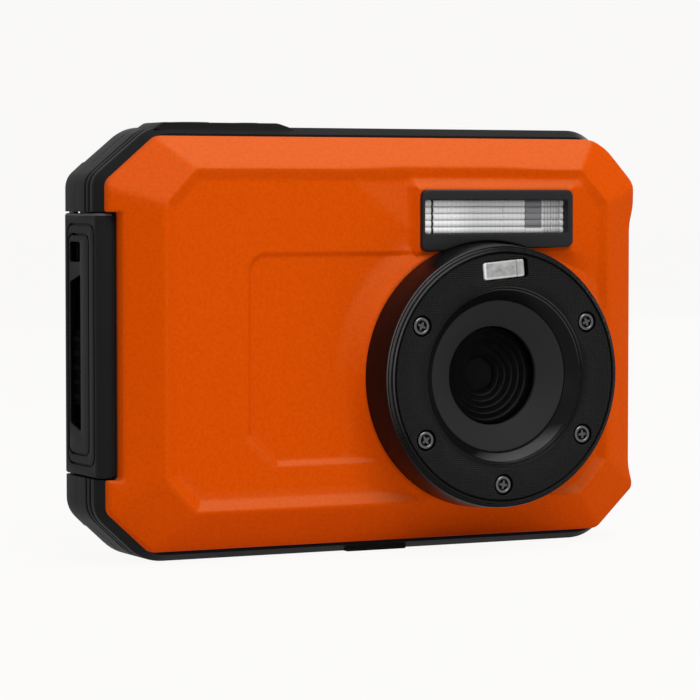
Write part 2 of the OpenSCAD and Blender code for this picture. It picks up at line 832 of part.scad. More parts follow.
// Shell of the rear cover before its openings are cut, straight at the hinge side
module rear_shell() {
    difference() {
        rear_body(frame_d);
        slab(back_face_y, rear_y + cut) difference() {
            frame_outline(rear_rim_w);
            translate([-half_w, 0]) square([rear_left_x + rear_rim_left + half_w, body_h]);
        }
        slab(frame_d - cut, back_inner_y) hollow_outline(frame_side - rear_side_step, frame_wall);
        box(-half_w - cut, rear_left_x, frame_d - cut, rear_y + cut, -cut, body_h + cut);
        slab(frame_d - cut, rear_y + cut) waist(half_w - waist_notch);
    }
}

// Hole of the rocker pin, and the pin
module rocker_rod() {
    reach = rocker_w / 2 + rocker_pin_bite;
    bar_z(rocker_x, rocker_y, rocker_z - reach, rocker_z + reach, rocker_pin_r);
}

module rear_cover() color("#2b2c2f") {
    rocker_half = rocker_l / 2 + room_gap;
    difference() {
        union() {
            rear_shell();
            at_posts() bar_y(0, 0, frame_d, back_inner_y + skin, post_shoulder_r);
        }
        rear_gasket_ring(cut);
        at_posts() bar_y(0, 0, frame_d - cut, rear_y, cover_screw_hole_r);
        at_posts() bar_y(0, 0, cover_screw_head_y, rear_y, cover_screw_head_r + slip_gap);
        for (k = KEYS) bar_y(k[0], k[1], frame_d, rear_y, key_r + slip_gap);
        slab(back_face_y - lcd_glass_t, rear_y) round_rect(lcd_x, lcd_z, lcd_w, lcd_h, lcd_corner);
        slab(frame_d, rear_y)
            round_rect(lcd_x, lcd_z, lcd_w - 2 * lcd_ledge, lcd_h - 2 * lcd_ledge, lcd_corner);
        box(rocker_x - rocker_half, rocker_x + rocker_half, frame_d, rear_y,
            rocker_z - rocker_w / 2 - room_gap, rocker_z + rocker_w / 2 + room_gap);
        rocker_rod();
    }
}

module front_gasket() color("#3a3a3c") front_gasket_ring(0);
module rear_gasket() color("#3a3a3c") rear_gasket_ring(0);

module cover_screws() color("silver") {
    at_posts() {
        bar_y(0, 0, seat_gap - cover_screw_bite, cover_screw_head_y + skin, cover_screw_r - thread_gap);
        bar_y(0, 0, cover_screw_head_y, cover_screw_head_y + cover_screw_head_h, cover_screw_head_r);
    }
}

module tripod_bush() color("goldenrod") {
    difference() {
        bush_body(0);
        bar_z(0, tripod_y, -cut, tripod_depth, tripod_r);
    }
}

module strap_bar() color("silver") strap_rod();

// Pocket for the lamp at the top of the lens ring, wider by g all round
module lamp_pocket(y0, y1, g) {
    slab(y0, y1)
        round_rect(lens_x, lens_axis_z + lamp_place_r, lamp_w + 2 * g, lamp_h + 2 * g, lamp_corner + g);
}

// Bolted ring: tapered side, chamfer, lip and groove at the outer edge, cone down to the dish
module lens_ring() color("#1c1c1e") {
    lip_r = ring_edge_r - ring_lip_w;
    groove_r = lip_r - ring_groove_w;
    step_r = ring_inner_r - ring_step[0];
    difference() {
        turned() polygon([[ring_bore_r, boss_front], [gasket_r[0], boss_front],
                          [gasket_r[0], boss_front + gasket_h], [gasket_r[1], boss_front + gasket_h],
                          [gasket_r[1], boss_front], [ring_foot_r, boss_front],
                          [ring_shoulder_r, ring_front - ring_chamfer], [ring_edge_r, ring_front],
                          [lip_r, ring_front], [lip_r, ring_front - ring_groove_d],
                          [groove_r, ring_front - ring_groove_d], [groove_r, ring_front],
                          [ring_inner_r, ring_front], [step_r, ring_front - ring_step[1]],
                          [step_r - ring_ledge[0], ring_front - ring_step[1] - ring_ledge[1]],
                          [ring_dish_bore_r, dish_front],
                          [ring_dish_bore_r, dish_ledge], [ring_bore_r, dish_ledge]]);
        at_ring_screws() {
            bar_y(0, 0, -ring_front - cut, 0, ring_screw_hole_r);
            bar_y(0, 0, -ring_front - cut, ring_head_recess_d - ring_front, ring_head_recess_r);
        }
        lamp_pocket(-ring_front - cut, lamp_depth - ring_front, seat_gap);
    }
}

module lens_ring_screws() color("silver") {
    seat_y = ring_head_recess_d - ring_front;
    at_ring_screws() {
        bar_y(0, 0, seat_y - skin, ring_screw_bite - boss_front - seat_gap, ring_screw_shank_r - thread_gap);
        bar_y(0, 0, seat_y - ring_head_h, seat_y, ring_screw_head_r);
    }
}

module ring_gasket() color("#3a3a3c") {
    turned() translate([gasket_r[0], boss_front]) square([gasket_r[1] - gasket_r[0], gasket_h]);
}

module trim_dish() color("#2e2e30") {
    low = dish_front - dish_drop;
    turned() polygon([[dish_r, dish_ledge], [dish_r, dish_front], [aperture_r, low],
                      [aperture_r, low - dish_lip_t], [glass_r, low - dish_lip_t],
                      [ring_bore_r - fit_gap, dish_ledge]]);
}

// Steps of the light baffle, from the aperture down to the front lens
module lens_baffle() color("#161616") {
    mouth_r = aperture_r - baffle_margin;
    step_r = (mouth_r - front_lens_r) / baffle_steps;
    step_h = baffle_depth / baffle_steps;
    turned() difference() {
        translate([0, flange_front - baffle_depth]) square([baffle_r, baffle_depth]);
        for (i = [0 : baffle_steps - 1])
            translate([0, flange_front - (i + 1) * step_h - skin])
                square([mouth_r - i * step_r, (i + 1) * step_h + cut]);
    }
}

module window_glass() color("lightcyan", 0.4) {
    turned() translate([0, flange_front]) square([glass_r, glass_t]);
}

// Barrel with a flange under the glass, seats for the baffle and front lens, and a stop
module lens_barrel() color("#202022") {
    lens_floor = front_lens_front - front_lens_t;
    lens_seat_r = front_lens_r + lens_rim + seat_gap;
    turned() polygon([[barrel_bore_r, -sensor_y], [barrel_r, -sensor_y], [barrel_r, boss_front],
                      [barrel_flange_r, boss_front], [barrel_flange_r, flange_front],
                      [baffle_r + seat_gap, flange_front], [baffle_r + seat_gap, front_lens_front],
                      [lens_seat_r, front_lens_front], [lens_seat_r, lens_floor], [stop_r, lens_floor],
                      [stop_r, lens_floor - stop_t], [barrel_bore_r, lens_floor - stop_t]]);
}

// Lens with two spherical faces, from its front vertex back by its thickness
module lens_element(front, r, t, crown) {
    ball_r = (r * r + crown * crown) / (2 * crown);
    turned() intersection() {
        translate([0, front - t]) square([r, t]);
        translate([0, front - ball_r]) circle(ball_r, $fn = lens_fn);
        translate([0, front - t + ball_r]) circle(ball_r, $fn = lens_fn);
    }
}

module front_lens() color("slategray") {
    lens_element(front_lens_front, front_lens_r + lens_rim, front_lens_t, front_lens_crown);
}
module rear_lens() color("slategray") {
    lens_element(rear_lens_front, rear_lens_r, rear_lens_t, rear_lens_crown);
}

// A plate square to the lens axis, from y0 to y1
module lens_plate(w, h, y0, y1) {
    box(lens_x - w / 2, lens_x + w / 2, y0, y1, lens_axis_z - h / 2, lens_axis_z + h / 2);
}
module ir_filter() color("paleturquoise") lens_plate(filter_w, filter_w, sensor_y - filter_t, sensor_y);
module image_sensor() color("darkslategray") lens_plate(sensor_w, sensor_h, sensor_y, sensor_board_y);
module sensor_board() color("darkgreen") {
    lens_plate(sensor_board_w, sensor_board_h, sensor_board_y, sensor_board_y + sensor_board_t);
}

module lamp_window() color("whitesmoke") lamp_pocket(-ring_front, lamp_t - ring_front, 0);

module lamp_led() color("khaki") {
    y = lamp_depth - ring_front;
    z = lens_axis_z + lamp_place_r;
    half = lamp_led_w / 2;
    box(lens_x - half, lens_x + half, y - lamp_led_h, y, z - half, z + half);
}

// Bezel with a front flange and a body that passes through the cover, hollowed to clear the lens ring
module flash_bezel() color("#18181a") {
    body_step = 2 * bezel_step + 2 * seat_gap;
    difference() {
        union() {
            slab(-bezel_front, -boss_front) round_rect(bezel_x, bezel_mid, bezel_w, bezel_h, bezel_corner);
            slab(-boss_front - skin, -cavity_front)
                round_rect(bezel_x, bezel_mid, bezel_w - body_step, bezel_h - body_step,
                           bezel_corner - seat_gap);
        }
        slab(-bezel_front - cut, flash_set + flash_t - bezel_front)
            round_rect(bezel_x, flash_z, flash_w, flash_h, flash_corner);
        slab(-bezel_front - cut, 0) round_rect(bezel_x, flash_z, bezel_open_w, bezel_open_h, flash_corner);
        turned() polygon([[0, boss_front - skin], [ring_foot_r + move_gap, boss_front - skin],
                          [ring_shoulder_r + move_gap, ring_front], [0, ring_front]]);
    }
}

// Window with five long lens bands on its front
module flash_window() color("white") {
    w = flash_w - 2 * seat_gap;
    h = flash_h - 2 * seat_gap;
    band = h / flash_bands;
    band_r = (band * band / 4 + flash_bulge * flash_bulge) / (2 * flash_bulge);
    front_y = flash_set - bezel_front;
    back_y = front_y + flash_t;
    slab(front_y + flash_bulge, back_y) round_rect(bezel_x, flash_z, w, h, flash_corner - seat_gap);
    intersection() {
        slab(front_y, back_y) round_rect(bezel_x, flash_z, w, h, flash_corner - seat_gap);
        for (i = [0 : flash_bands - 1])
            bar_x(front_y + band_r, flash_z - h / 2 + (i + 0.5) * band, bezel_x - w / 2, bezel_x + w / 2,
                  band_r);
    }
}

// Trough behind the flash window, open to the front
module flash_reflector() color("silver") {
    x0 = bezel_x - reflector_half;
    x1 = bezel_x + reflector_half;
    difference() {
        bar_x(reflector_y, flash_z, x0, x1, reflector_r);
        bar_x(reflector_y, flash_z, x0 + reflector_end, x1 - reflector_end, reflector_r - reflector_t);
        box(x0 - cut, x1 + cut, reflector_y - 2 * reflector_r, reflector_y - reflector_mouth,
            flash_z - reflector_r - cut, flash_z + reflector_r + cut);
        bar_x(reflector_y, flash_z, x0 - cut, x1 + cut, tube_r + seat_gap);
    }
}

module flash_tube() color("lightcyan") {
    half = reflector_half + tube_end;
    bar_x(reflector_y, flash_z, bezel_x - half, bezel_x + half, tube_r);
}

module flash_capacitor() color("#20242c") {
    bar_x(board_y - fit_gap - capacitor_r, body_h - frame_wall - room_gap - capacitor_r, capacitor_x,
          capacitor_x + capacitor_l, capacitor_r);
}

// Section of the door in X and Y: flat panel, round nose at the front, hinge barrel at the back
module door_section() {
    nose_y = door_front_y + door_nose_r;
    translate([door_x, nose_y]) square([door_t, hinge_y - nose_y]);
    intersection() {
        translate([door_x + door_nose_r, nose_y]) circle(door_nose_r);
        translate([door_x, door_front_y]) square([door_t, door_nose_r]);
    }
    translate([hinge_x, hinge_y]) circle(hinge_r);
}

// An outline in Y and Z on the door's outer face, cut in by the given depth
module door_cut(depth) {
    translate([door_x - cut, 0, 0]) rotate([90, 0, 90]) linear_extrude(depth + cut) children();
}

// Shallow groove that runs round the door's face
module door_groove() {
    mid_y = (door_groove_y[0] + door_groove_y[1]) / 2;
    mid_z = (door_z0 + door_z1) / 2;
    w = door_groove_y[1] - door_groove_y[0];
    h = door_z1 - door_z0 - 2 * door_groove_end;
    difference() {
        round_rect(mid_y, mid_z, w, h, door_groove_r);
        round_rect(mid_y, mid_z, w - 2 * door_groove_w, h - 2 * door_groove_w, door_groove_r - door_groove_w);
    }
}

// Long recess of the latch, with slanted ends
module latch_recess() {
    polygon([[latch_y[0], latch_z[0] + latch_slant], [latch_y[1], latch_z[0]],
             [latch_y[1], latch_z[1] - latch_slant], [latch_y[0], latch_z[1]]]);
}

// Seal loop between the door and the sill of the bay
module seal_loop(x0, x1) {
    difference() {
        box(x0, x1, seal_y[0] - seal_w, seal_y[1], seal_z[0], seal_z[1]);
        box(x0 - cut, x1 + cut, seal_y[0], seal_y[1] - seal_w, seal_z[0] + seal_w, seal_z[1] - seal_w);
    }
}

module side_door() color("#232427") {
    slot = hook_w / 2 + fit_gap;
    difference() {
        translate([0, 0, door_z0 + move_gap])
            linear_extrude(door_z1 - door_z0 - 2 * move_gap) door_section();
        bar_z(hinge_x, hinge_y, door_z0 - cut, door_z1 + cut, hinge_hole_r);
        door_cut(door_groove_d) door_groove();
        door_cut(latch_set) latch_recess();
        door_cut(lock_set)
            translate([lock_y[0], lock_z[0]]) square([lock_y[1] - lock_y[0], lock_z[1] - lock_z[0]]);
        box(door_x, door_inner_x + cut, hook_y - slot, hook_y + slot, hook_z - 2 * fit_gap,
            hook_z + hook_l + latch_travel + 2 * fit_gap);
        seal_loop(door_inner_x - seal_set, door_inner_x + cut);
    }
}

module door_seal() color("#555558") seal_loop(door_inner_x - seal_set, door_inner_x + seal_proud);

module door_hinge_pin() color("silver") hinge_rod();

// Slider with finger ribs in the door's long recess
module door_latch() color("#101012") {
    top_x = door_x + slider_top_set;
    y0 = latch_y[0] + move_gap;
    y1 = latch_y[1] - move_gap;
    box(top_x + rib_h, door_x + latch_set - fit_gap, y0, y1, slider_z, slider_z + slider_l);
    for (i = [0 : rib_count - 1]) {
        z = slider_z + rib_start + i * rib_pitch;
        box(top_x, top_x + rib_h + skin, y0 + room_gap, y1 - room_gap, z, z + rib_w);
    }
}

// Steel hook on the slider: a neck through the door and a head that locks behind the sill
module latch_hook() color("silver") {
    box(door_x + latch_set - fit_gap, hook_head_x + skin, hook_y - hook_w / 2, hook_y + hook_w / 2,
        hook_z, hook_z + hook_l);
    box(hook_head_x, hook_head_x + hook_head_t, hook_y - hook_head_w / 2, hook_y + hook_head_w / 2,
        hook_z, hook_z + hook_l);
}

// Small slide in its own pocket, at rest at the front end of its way
module door_lock() color("#8a2f12") {
    y0 = lock_y[0] + move_gap;
    mid = y0 + lock_w / 2;
    z0 = lock_z[0] + lock_end_gap;
    z1 = lock_z[1] - lock_end_gap;
    box(door_x + lock_plate_set, door_x + lock_set - fit_gap, y0, y0 + lock_w, z0, z1);
    box(door_x + lock_rib_set, door_x + lock_plate_set + skin, mid - lock_rib_w / 2, mid + lock_rib_w / 2,
        z0 + fit_gap, z1 - fit_gap);
}

module battery() color("#3d4a63") {
    box(bay_inner_x - battery_end, bay_end_x - battery_end, battery_y, battery_y + battery_t,
        bay_lo + slip_gap, bay_lo + slip_gap + battery_h);
}

module battery_contacts() color("gold") {
    for (i = [0 : 2]) {
        z = bay_lo + contact_z + i * contact_pitch;
        box(bay_end_x - contact_l, bay_end_x, battery_y + contact_y[0], battery_y + contact_y[1], z,
            z + contact_h);
    }
}

module memory_card() color("#1d2733") {
    x0 = bay_inner_x - card_out;
    box(x0, x0 + card_l, card_y, card_y + card_t, card_z, card_z + card_w);
}

// Sheet metal box that the card slides into, open at the door side
module card_socket() color("silver") {
    end_x = bay_inner_x - card_out + card_l;
    difference() {
        box(bay_inner_x + card_socket_set, end_x + bay_rib, card_socket_y + seat_gap, board_y,
            card_z - card_socket_wall, card_z + card_w + card_socket_wall);
        box(bay_inner_x - cut, end_x + fit_gap, card_y - seat_gap, card_y + card_t + seat_gap,
            card_z - seat_gap, card_z + card_w + seat_gap);
    }
}

module usb_socket() color("silver") {
    mid = usb_y + usb_t / 2;
    end_x = usb_x + usb_l;
    difference() {
        box(usb_x, end_x, usb_y, usb_y + usb_t, usb_z, usb_z + usb_h);
        box(usb_x - cut, end_x - 2 * usb_wall, usb_y + usb_wall, usb_y + usb_t - usb_wall, usb_z + usb_wall,
            usb_z + usb_h - usb_wall);
    }
    box(usb_x + usb_tongue_set, end_x - usb_wall, mid - usb_wall, mid + usb_wall, usb_z + usb_tongue_end,
        usb_z + usb_h - usb_tongue_end);
}

module main_board() color("darkgreen") {
    block_w = tripod_block_w + room_gap;
    difference() {
        slab(board_y, board_back) hollow_outline(frame_side - room_gap, frame_wall + room_gap);
        box(strap_floor_x - strap_block_wall - room_gap, half_w, 0, rear_y, 0, body_h);
        at_posts() bar_y(0, 0, 0, rear_y, post_r + slip_gap);
        box(-block_w, block_w, 0, rear_y, 0, tripod_block_h + room_gap);
    }
}

module top_board() color("darkgreen") {
    z1 = switch_top - switch_h;
    box(shutter_x - top_board_end[0], power_x + top_board_end[1], button_y - top_board_front,
        board_y - fit_gap, z1 - top_board_t, z1);
}

module button_switches() color("dimgray") {
    half = switch_w / 2;
    z1 = switch_top - switch_dome_h;
    for (x = [shutter_x, power_x]) {
        box(x - half, x + half, button_y - half, button_y + half, switch_top - switch_h, z1);
        bar_z(x, button_y, z1 - skin, switch_top, switch_dome_r);
    }
}

module key_domes() color("silver") {
    for (k = KEYS) bar_y(k[0], k[1], board_back, board_back + dome_h, dome_r);
    for (i = [-1, 1])
        bar_y(rocker_x + i * rocker_foot_x, rocker_z, board_back, board_back + dome_h, rocker_dome_r);
}

module lcd_panel() color("#2c3138") {
    half_x = lcd_w / 2 - lcd_panel_end;
    half_z = lcd_h / 2 - lcd_panel_end;
    box(lcd_x - half_x, lcd_x + half_x, lcd_panel_y, lcd_panel_y + lcd_panel_t, lcd_z - half_z,
        lcd_z + half_z);
}

module lcd_window() color("#0c0d10") {
    slab(back_face_y - lcd_glass_t, back_face_y)
        round_rect(lcd_x, lcd_z, lcd_w - 2 * seat_gap, lcd_h - 2 * seat_gap, lcd_corner - seat_gap);
}

// Cap and stem of a top button, at rest just under the top of the raised pad
module top_button(x, r) {
    bar_z(x, button_y, button_top - button_cap_t, button_top, r);
    bar_z(x, button_y, stem_end, button_top - button_cap_t + skin, button_stem_r);
}
module shutter_button() color("#3b3c40") top_button(shutter_x, shutter_r);
module power_button() color("#3b3c40") top_button(power_x, power_r);

// Rear key: cap through the wall, flange behind it, stem down to its dome
module rear_key(k) {
    flange_y = back_inner_y - fit_gap;
    bar_y(k[0], k[1], flange_y - key_flange_t, back_face_y + key_proud, key_r);
    bar_y(k[0], k[1], flange_y - key_flange_t, flange_y, key_r + key_flange_w);
    bar_y(k[0], k[1], key_stem_y, flange_y - key_flange_t + skin, key_stem_r);
}
module key_up() color("#3b3c40") rear_key(KEYS[0]);
module key_down() color("#3b3c40") rear_key(KEYS[1]);
module key_left() color("#3b3c40") rear_key(KEYS[2]);
module key_right() color("#3b3c40") rear_key(KEYS[3]);
module key_ok() color("#3b3c40") rear_key(KEYS[4]);
module key_menu() color("#3b3c40") rear_key(KEYS[5]);
module key_play() color("#3b3c40") rear_key(KEYS[6]);

// Rocker that tilts on its pin, with one foot over each dome
module zoom_rocker() color("#3b3c40") {
    difference() {
        union() {
            box(rocker_x - rocker_l / 2, rocker_x + rocker_l / 2, rocker_back_y, rocker_top_y,
                rocker_z - rocker_w / 2, rocker_z + rocker_w / 2);
            for (i = [-1, 1])
                bar_y(rocker_x + i * rocker_foot_x, rocker_z, rocker_foot_y, rocker_back_y + skin,
                      rocker_foot_r);
        }
        bar_z(rocker_x, rocker_y, rocker_z - rocker_w, rocker_z + rocker_w, rocker_pin_r + seat_gap);
    }
}

module rocker_pin() color("silver") rocker_rod();

// Moves a piece so that the middle of the whole depth is at the origin
module placed() translate([0, origin_y, 0]) children();

placed() front_cover();
placed() mid_frame();
placed() rear_cover();
placed() front_gasket();
placed() rear_gasket();
placed() cover_screws();
placed() battery_bay();
placed() tripod_bush();
placed() strap_bar();
placed() lens_ring();
placed() lens_ring_screws();
placed() ring_gasket();
placed() trim_dish();
placed() lens_baffle();
placed() window_glass();
placed() lens_barrel();
placed() front_lens();
placed() rear_lens();
placed() ir_filter();
placed() image_sensor();
placed() sensor_board();
placed() lamp_window();
placed() lamp_led();
placed() flash_bezel();
placed() flash_window();
placed() flash_reflector();
placed() flash_tube();
placed() flash_capacitor();
placed() side_door();
placed() door_seal();
placed() door_hinge_pin();
placed() door_latch();
placed() latch_hook();
placed() door_lock();
placed() battery();
placed() battery_contacts();
placed() memory_card();
placed() card_socket();
placed() usb_socket();
placed() main_board();
placed() top_board();
placed() button_switches();
placed() key_domes();
placed() lcd_panel();
placed() lcd_window();
placed() shutter_button();
placed() power_button();
placed() zoom_rocker();
placed() rocker_pin();
placed() key_up();
placed() key_down();
placed() key_left();
placed() key_right();
placed() key_ok();
placed() key_menu();
placed() key_play();
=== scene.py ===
# %% [markdown]
# A rugged sealed camera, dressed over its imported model.
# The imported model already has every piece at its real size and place, in metres.
# This lesson adds what a photograph shows and a solid model leaves out: soft creases, small radii,
# moulded grain, ruled flash glass and screw heads.

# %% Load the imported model
import json
import math
import bpy
import bmesh
import numpy as np
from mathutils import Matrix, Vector
from mathutils.geometry import delaunay_2d_cdt


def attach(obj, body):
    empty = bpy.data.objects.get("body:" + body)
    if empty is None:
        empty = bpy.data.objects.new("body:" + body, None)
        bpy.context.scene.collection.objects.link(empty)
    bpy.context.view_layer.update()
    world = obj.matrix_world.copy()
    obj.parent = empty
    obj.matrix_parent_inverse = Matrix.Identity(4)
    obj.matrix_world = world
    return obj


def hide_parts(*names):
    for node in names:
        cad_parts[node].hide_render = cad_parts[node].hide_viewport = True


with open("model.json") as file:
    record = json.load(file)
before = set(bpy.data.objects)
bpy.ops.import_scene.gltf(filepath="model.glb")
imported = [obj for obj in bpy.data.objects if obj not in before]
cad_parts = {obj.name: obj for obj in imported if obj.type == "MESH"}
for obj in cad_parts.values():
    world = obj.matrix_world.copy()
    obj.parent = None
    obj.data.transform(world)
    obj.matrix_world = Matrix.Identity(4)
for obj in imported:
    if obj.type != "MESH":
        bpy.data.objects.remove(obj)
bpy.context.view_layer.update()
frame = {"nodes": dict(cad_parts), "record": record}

MM = 0.001
SEAM_Y = -0.6
nodes = frame["nodes"]

# %% [markdown]
# The photograph was taken from the camera's left, a little above its middle, with a long lens.
# A camera fit to the corners of the front cover gives the place and the focal length used here.
# The lens is long, so upright edges stay almost parallel.

# %% Camera at the photograph's viewing angle
TARGET = Vector((-5.11, SEAM_Y, 33.13)) * MM
EYE = Vector((-232.5, SEAM_Y - 451.4, 58.3)) * MM
SENSOR_WIDTH, FOCAL_LENGTH = 36.0, 159.2


def link(name, data):
    """A new object for a mesh, a lamp or a camera, in the scene."""
    item = bpy.data.objects.new(name, data)
    bpy.context.scene.collection.objects.link(item)
    return item


def aim(item, place, target):
    """Puts an object at a place and turns it to look at a target."""
    item.location = place
    item.rotation_euler = (Vector(target) - Vector(place)).to_track_quat("-Z", "Y").to_euler()
    return item


photo_camera = bpy.data.cameras.new("photo_camera")
photo_camera.sensor_width = SENSOR_WIDTH
photo_camera.lens = FOCAL_LENGTH
photo_camera.clip_start = 0.01
photo_camera.clip_end = 20.0
bpy.context.scene.camera = aim(link("photo_camera", photo_camera), EYE, TARGET)
print("camera distance in mm", round((TARGET - EYE).length / MM, 1))

# %% [markdown]
# Every look below is a small network of shader nodes. A few helpers add them in one line each: a node whose
# inputs are values or links, a sum, a change of range, a mix of colours, and the parts of a coordinate.

# %% Shader node helpers
RANGE_ENDS = ("From Min", "From Max", "To Min", "To Max")


def put(tree, kind, inputs=None, **settings):
    """A new shader node with its settings, and each input set to a value or linked to a socket."""
    node = tree.nodes.new("ShaderNode" + kind)
    for label, value in settings.items():
        setattr(node, label, value)
    for label, value in (inputs or {}).items():
        if isinstance(value, bpy.types.NodeSocket):
            tree.links.new(value, node.inputs[label])
        else:
            node.inputs[label].default_value = value
    return node


def calc(tree, operation, *values):
    """The result of a math node on values or sockets."""
    return put(tree, "Math", dict(enumerate(values)), operation=operation).outputs[0]


def spread(tree, value, *ends):
    """A value mapped from one range to another: from low, from high, to low and to high."""
    return put(tree, "MapRange", {"Value": value, **dict(zip(RANGE_ENDS, ends))}).outputs["Result"]


def shade(tree, base, mask, tone, amount=1.0, blend="MIX"):
    """A colour mixed towards a tone by a mask, or by a part of the mask."""
    if amount < 1.0:
        mask = calc(tree, "MULTIPLY", mask, amount)
    mix = put(tree, "Mix", {"Factor": mask, "A": base, "B": (*tone, 1.0)}, data_type="RGBA", blend_type=blend)
    return mix.outputs["Result"]


def axes_of(tree, output):
    """X, Y and Z of a surface's place or of its direction."""
    return put(tree, "SeparateXYZ", {0: put(tree, "TexCoord").outputs[output]}).outputs


def paint(tree, layers):
    """Lays tones over a finish, each by a mask, with its strength and its way of mixing."""
    tone = tree.nodes["tones"].outputs["Result"]
    for mask, colour, *more in layers:
        tone = shade(tree, tone, mask, colour, *more)
    tree.links.new(tone, tree.nodes["Principled BSDF"].inputs["Base Color"])


print("node helpers", [helper.__name__ for helper in (put, calc, spread, shade, axes_of, paint)])

# %% [markdown]
# The backdrop is a pale studio sweep. The world is seen as an even near-white by the lens and by gloss
# and glass, and lights the object more softly than it looks. The floor shows the same pale tone and
# still takes a faint shadow, because a part of it is a plain matte surface.

# %% World and floor
PALE = (0.95, 0.943, 0.937, 1.0)
WHITE = (1.0, 1.0, 1.0, 1.0)
FILL_STRENGTH = 0.32
FLOOR_GLOW, FLOOR_MATTE, GLOW_SHARE = (0.976, 0.969, 0.963, 1.0), (0.8, 0.8, 0.8, 1.0), 0.96
FLOOR_REACH, FLOOR_DROP = 4, 0.02 * MM
FLOOR_CORNERS = ((-1, -1), (1, -1), (1, 1), (-1, 1))
bpy.context.scene.view_settings.view_transform = "Standard"


def seen_ray(tree):
    """One for rays from the lens, from gloss and from glass, and zero for light that falls on things."""
    path = put(tree, "LightPath").outputs
    lens_or_gloss = calc(tree, "MAXIMUM", path["Is Camera Ray"], path["Is Glossy Ray"])
    return calc(tree, "MAXIMUM", lens_or_gloss, path["Is Transmission Ray"])


def two_looks(owner, share, lit, seen, end):
    """Clears an owner's nodes and mixes a shader that takes light with one that is seen."""
    owner.use_nodes = True
    tree = owner.node_tree
    tree.nodes.clear()
    shaders = [put(tree, kind, inputs).outputs[0] for kind, inputs in (lit, seen)]
    mask = calc(tree, "MULTIPLY", seen_ray(tree), share)
    mix = put(tree, "MixShader", {0: mask, 1: shaders[0], 2: shaders[1]})
    put(tree, end, {"Surface": mix.outputs[0]})
    return owner


studio = bpy.data.worlds.new("pale_studio")
bpy.context.scene.world = two_looks(studio, 1.0, ("Background", {"Color": WHITE, "Strength": FILL_STRENGTH}),
                                    ("Background", {"Color": PALE}), "OutputWorld")
sweep_mesh = bpy.data.meshes.new("studio_floor")
sweep_mesh.from_pydata([(FLOOR_REACH * i, FLOOR_REACH * j, 0) for i, j in FLOOR_CORNERS], [], [(0, 1, 2, 3)])
sweep_mesh.materials.append(two_looks(bpy.data.materials.new("pale_sweep"), GLOW_SHARE,
                                      ("BsdfDiffuse", {"Color": FLOOR_MATTE}),
                                      ("Emission", {"Color": FLOOR_GLOW}), "OutputMaterial"))
studio_floor = link("studio_floor", sweep_mesh)
studio_floor.location.z = -FLOOR_DROP
print("floor in m", [round(v, 2) for v in studio_floor.dimensions])

# %% [markdown]
# The photograph has one broad light above and in front: the top bevel and every lower wall are bright,
# and the lower bevel is the darkest facet. A weak card at the left lifts the black side wall, one behind at
# the right reaches the back and the right side, and a small one high over the right end lights what looks up
# there.

# %% Studio lamps
MIDDLE = (0.0, 0.0, 0.035)


def softbox(name, place, size, watts):
    """A square area lamp that looks at the middle of the object."""
    lamp = bpy.data.lights.new(name, "AREA")
    lamp.shape = "SQUARE"
    lamp.size = size
    lamp.energy = watts
    return aim(link(name, lamp), place, MIDDLE)


LAMPS = [softbox("overhead_softbox", (-0.02, -0.48, 0.66), 0.5, 4.65),
         softbox("left_card", (-0.8, -0.12, 0.2), 0.4, 0.4),
         softbox("back_card", (0.75, 0.6, 0.25), 0.4, 1.6),
         softbox("right_card", (0.3, 0.02, 0.87), 0.28, 2.0)]
print("lamps", [lamp.name for lamp in LAMPS])

# %% [markdown]
# Moulded plastic has a fine grain from the spark-eroded steel of its mould, and faint cloudy changes of
# gloss where it was handled. Both come back on every plastic piece, so each is a node group that puts out
# values only. The shader itself stays in each material.

# %% Shared surface effects


def new_group(name, inputs, outputs):
    """An empty shader group with value sockets, or vector ones where no value is given, and its two ends."""
    group = bpy.data.node_groups.new(name, "ShaderNodeTree")
    for label, value in inputs.items():
        kind = "NodeSocketVector" if value is None else "NodeSocketFloat"
        socket = group.interface.new_socket(label, in_out="INPUT", socket_type=kind)
        if value is not None:
            socket.default_value = value
    for label in outputs:
        group.interface.new_socket(label, in_out="OUTPUT", socket_type="NodeSocketFloat")
    return group, group.nodes.new("NodeGroupInput").outputs, group.nodes.new("NodeGroupOutput").inputs


def grain_group():
    """Height of a moulded grain, fine pits over small waves, and a slow cloud."""
    group, start, end = new_group("moulded_grain", {"Vector": None, "Scale": 3000.0, "Cloud Scale": 45.0},
                                  ("Height", "Cloud"))
    place = {"Vector": start["Vector"], "Scale": start["Scale"]}
    fine = put(group, "TexNoise", {**place, "Detail": 3.0, "Roughness": 0.6})
    pits = put(group, "TexVoronoi", place, feature="SMOOTH_F1")
    height = calc(group, "MULTIPLY_ADD", pits.outputs["Distance"], 0.5, fine.outputs["Fac"])
    cloud = put(group, "TexNoise", {"Vector": start["Vector"], "Scale": start["Cloud Scale"], "Detail": 4.0})
    group.links.new(height, end["Height"])
    group.links.new(cloud.outputs["Fac"], end["Cloud"])
    return group


def gloss_group():
    """Roughness that changes a little with handling, between two values."""
    group, start, end = new_group("handled_gloss", {"Cloud": 0.5, "Low": 0.35, "High": 0.5}, ("Roughness",))
    group.links.new(spread(group, start["Cloud"], 0.3, 0.7, start["Low"], start["High"]), end["Roughness"])
    return group


MOULDED_GRAIN = grain_group()
HANDLED_GLOSS = gloss_group()
print("groups", MOULDED_GRAIN.name, HANDLED_GLOSS.name)

# %% [markdown]
# One function gives every finish its Principled shader: two close tones mixed by the cloud, the handled
# gloss, and the grain as a bump. The orange plastic mixes its tones by the grain, which shows as a fine
# speckle. The values per finish say how coarse, deep and shiny it is. The black and orange plastics are
# matte, so their plain specular level is low. The window glass is coated against reflections, so its index
# is close to that of air.

# %% Materials
SPECKLE_LOW, SPECKLE_HIGH = 0.5, 0.85


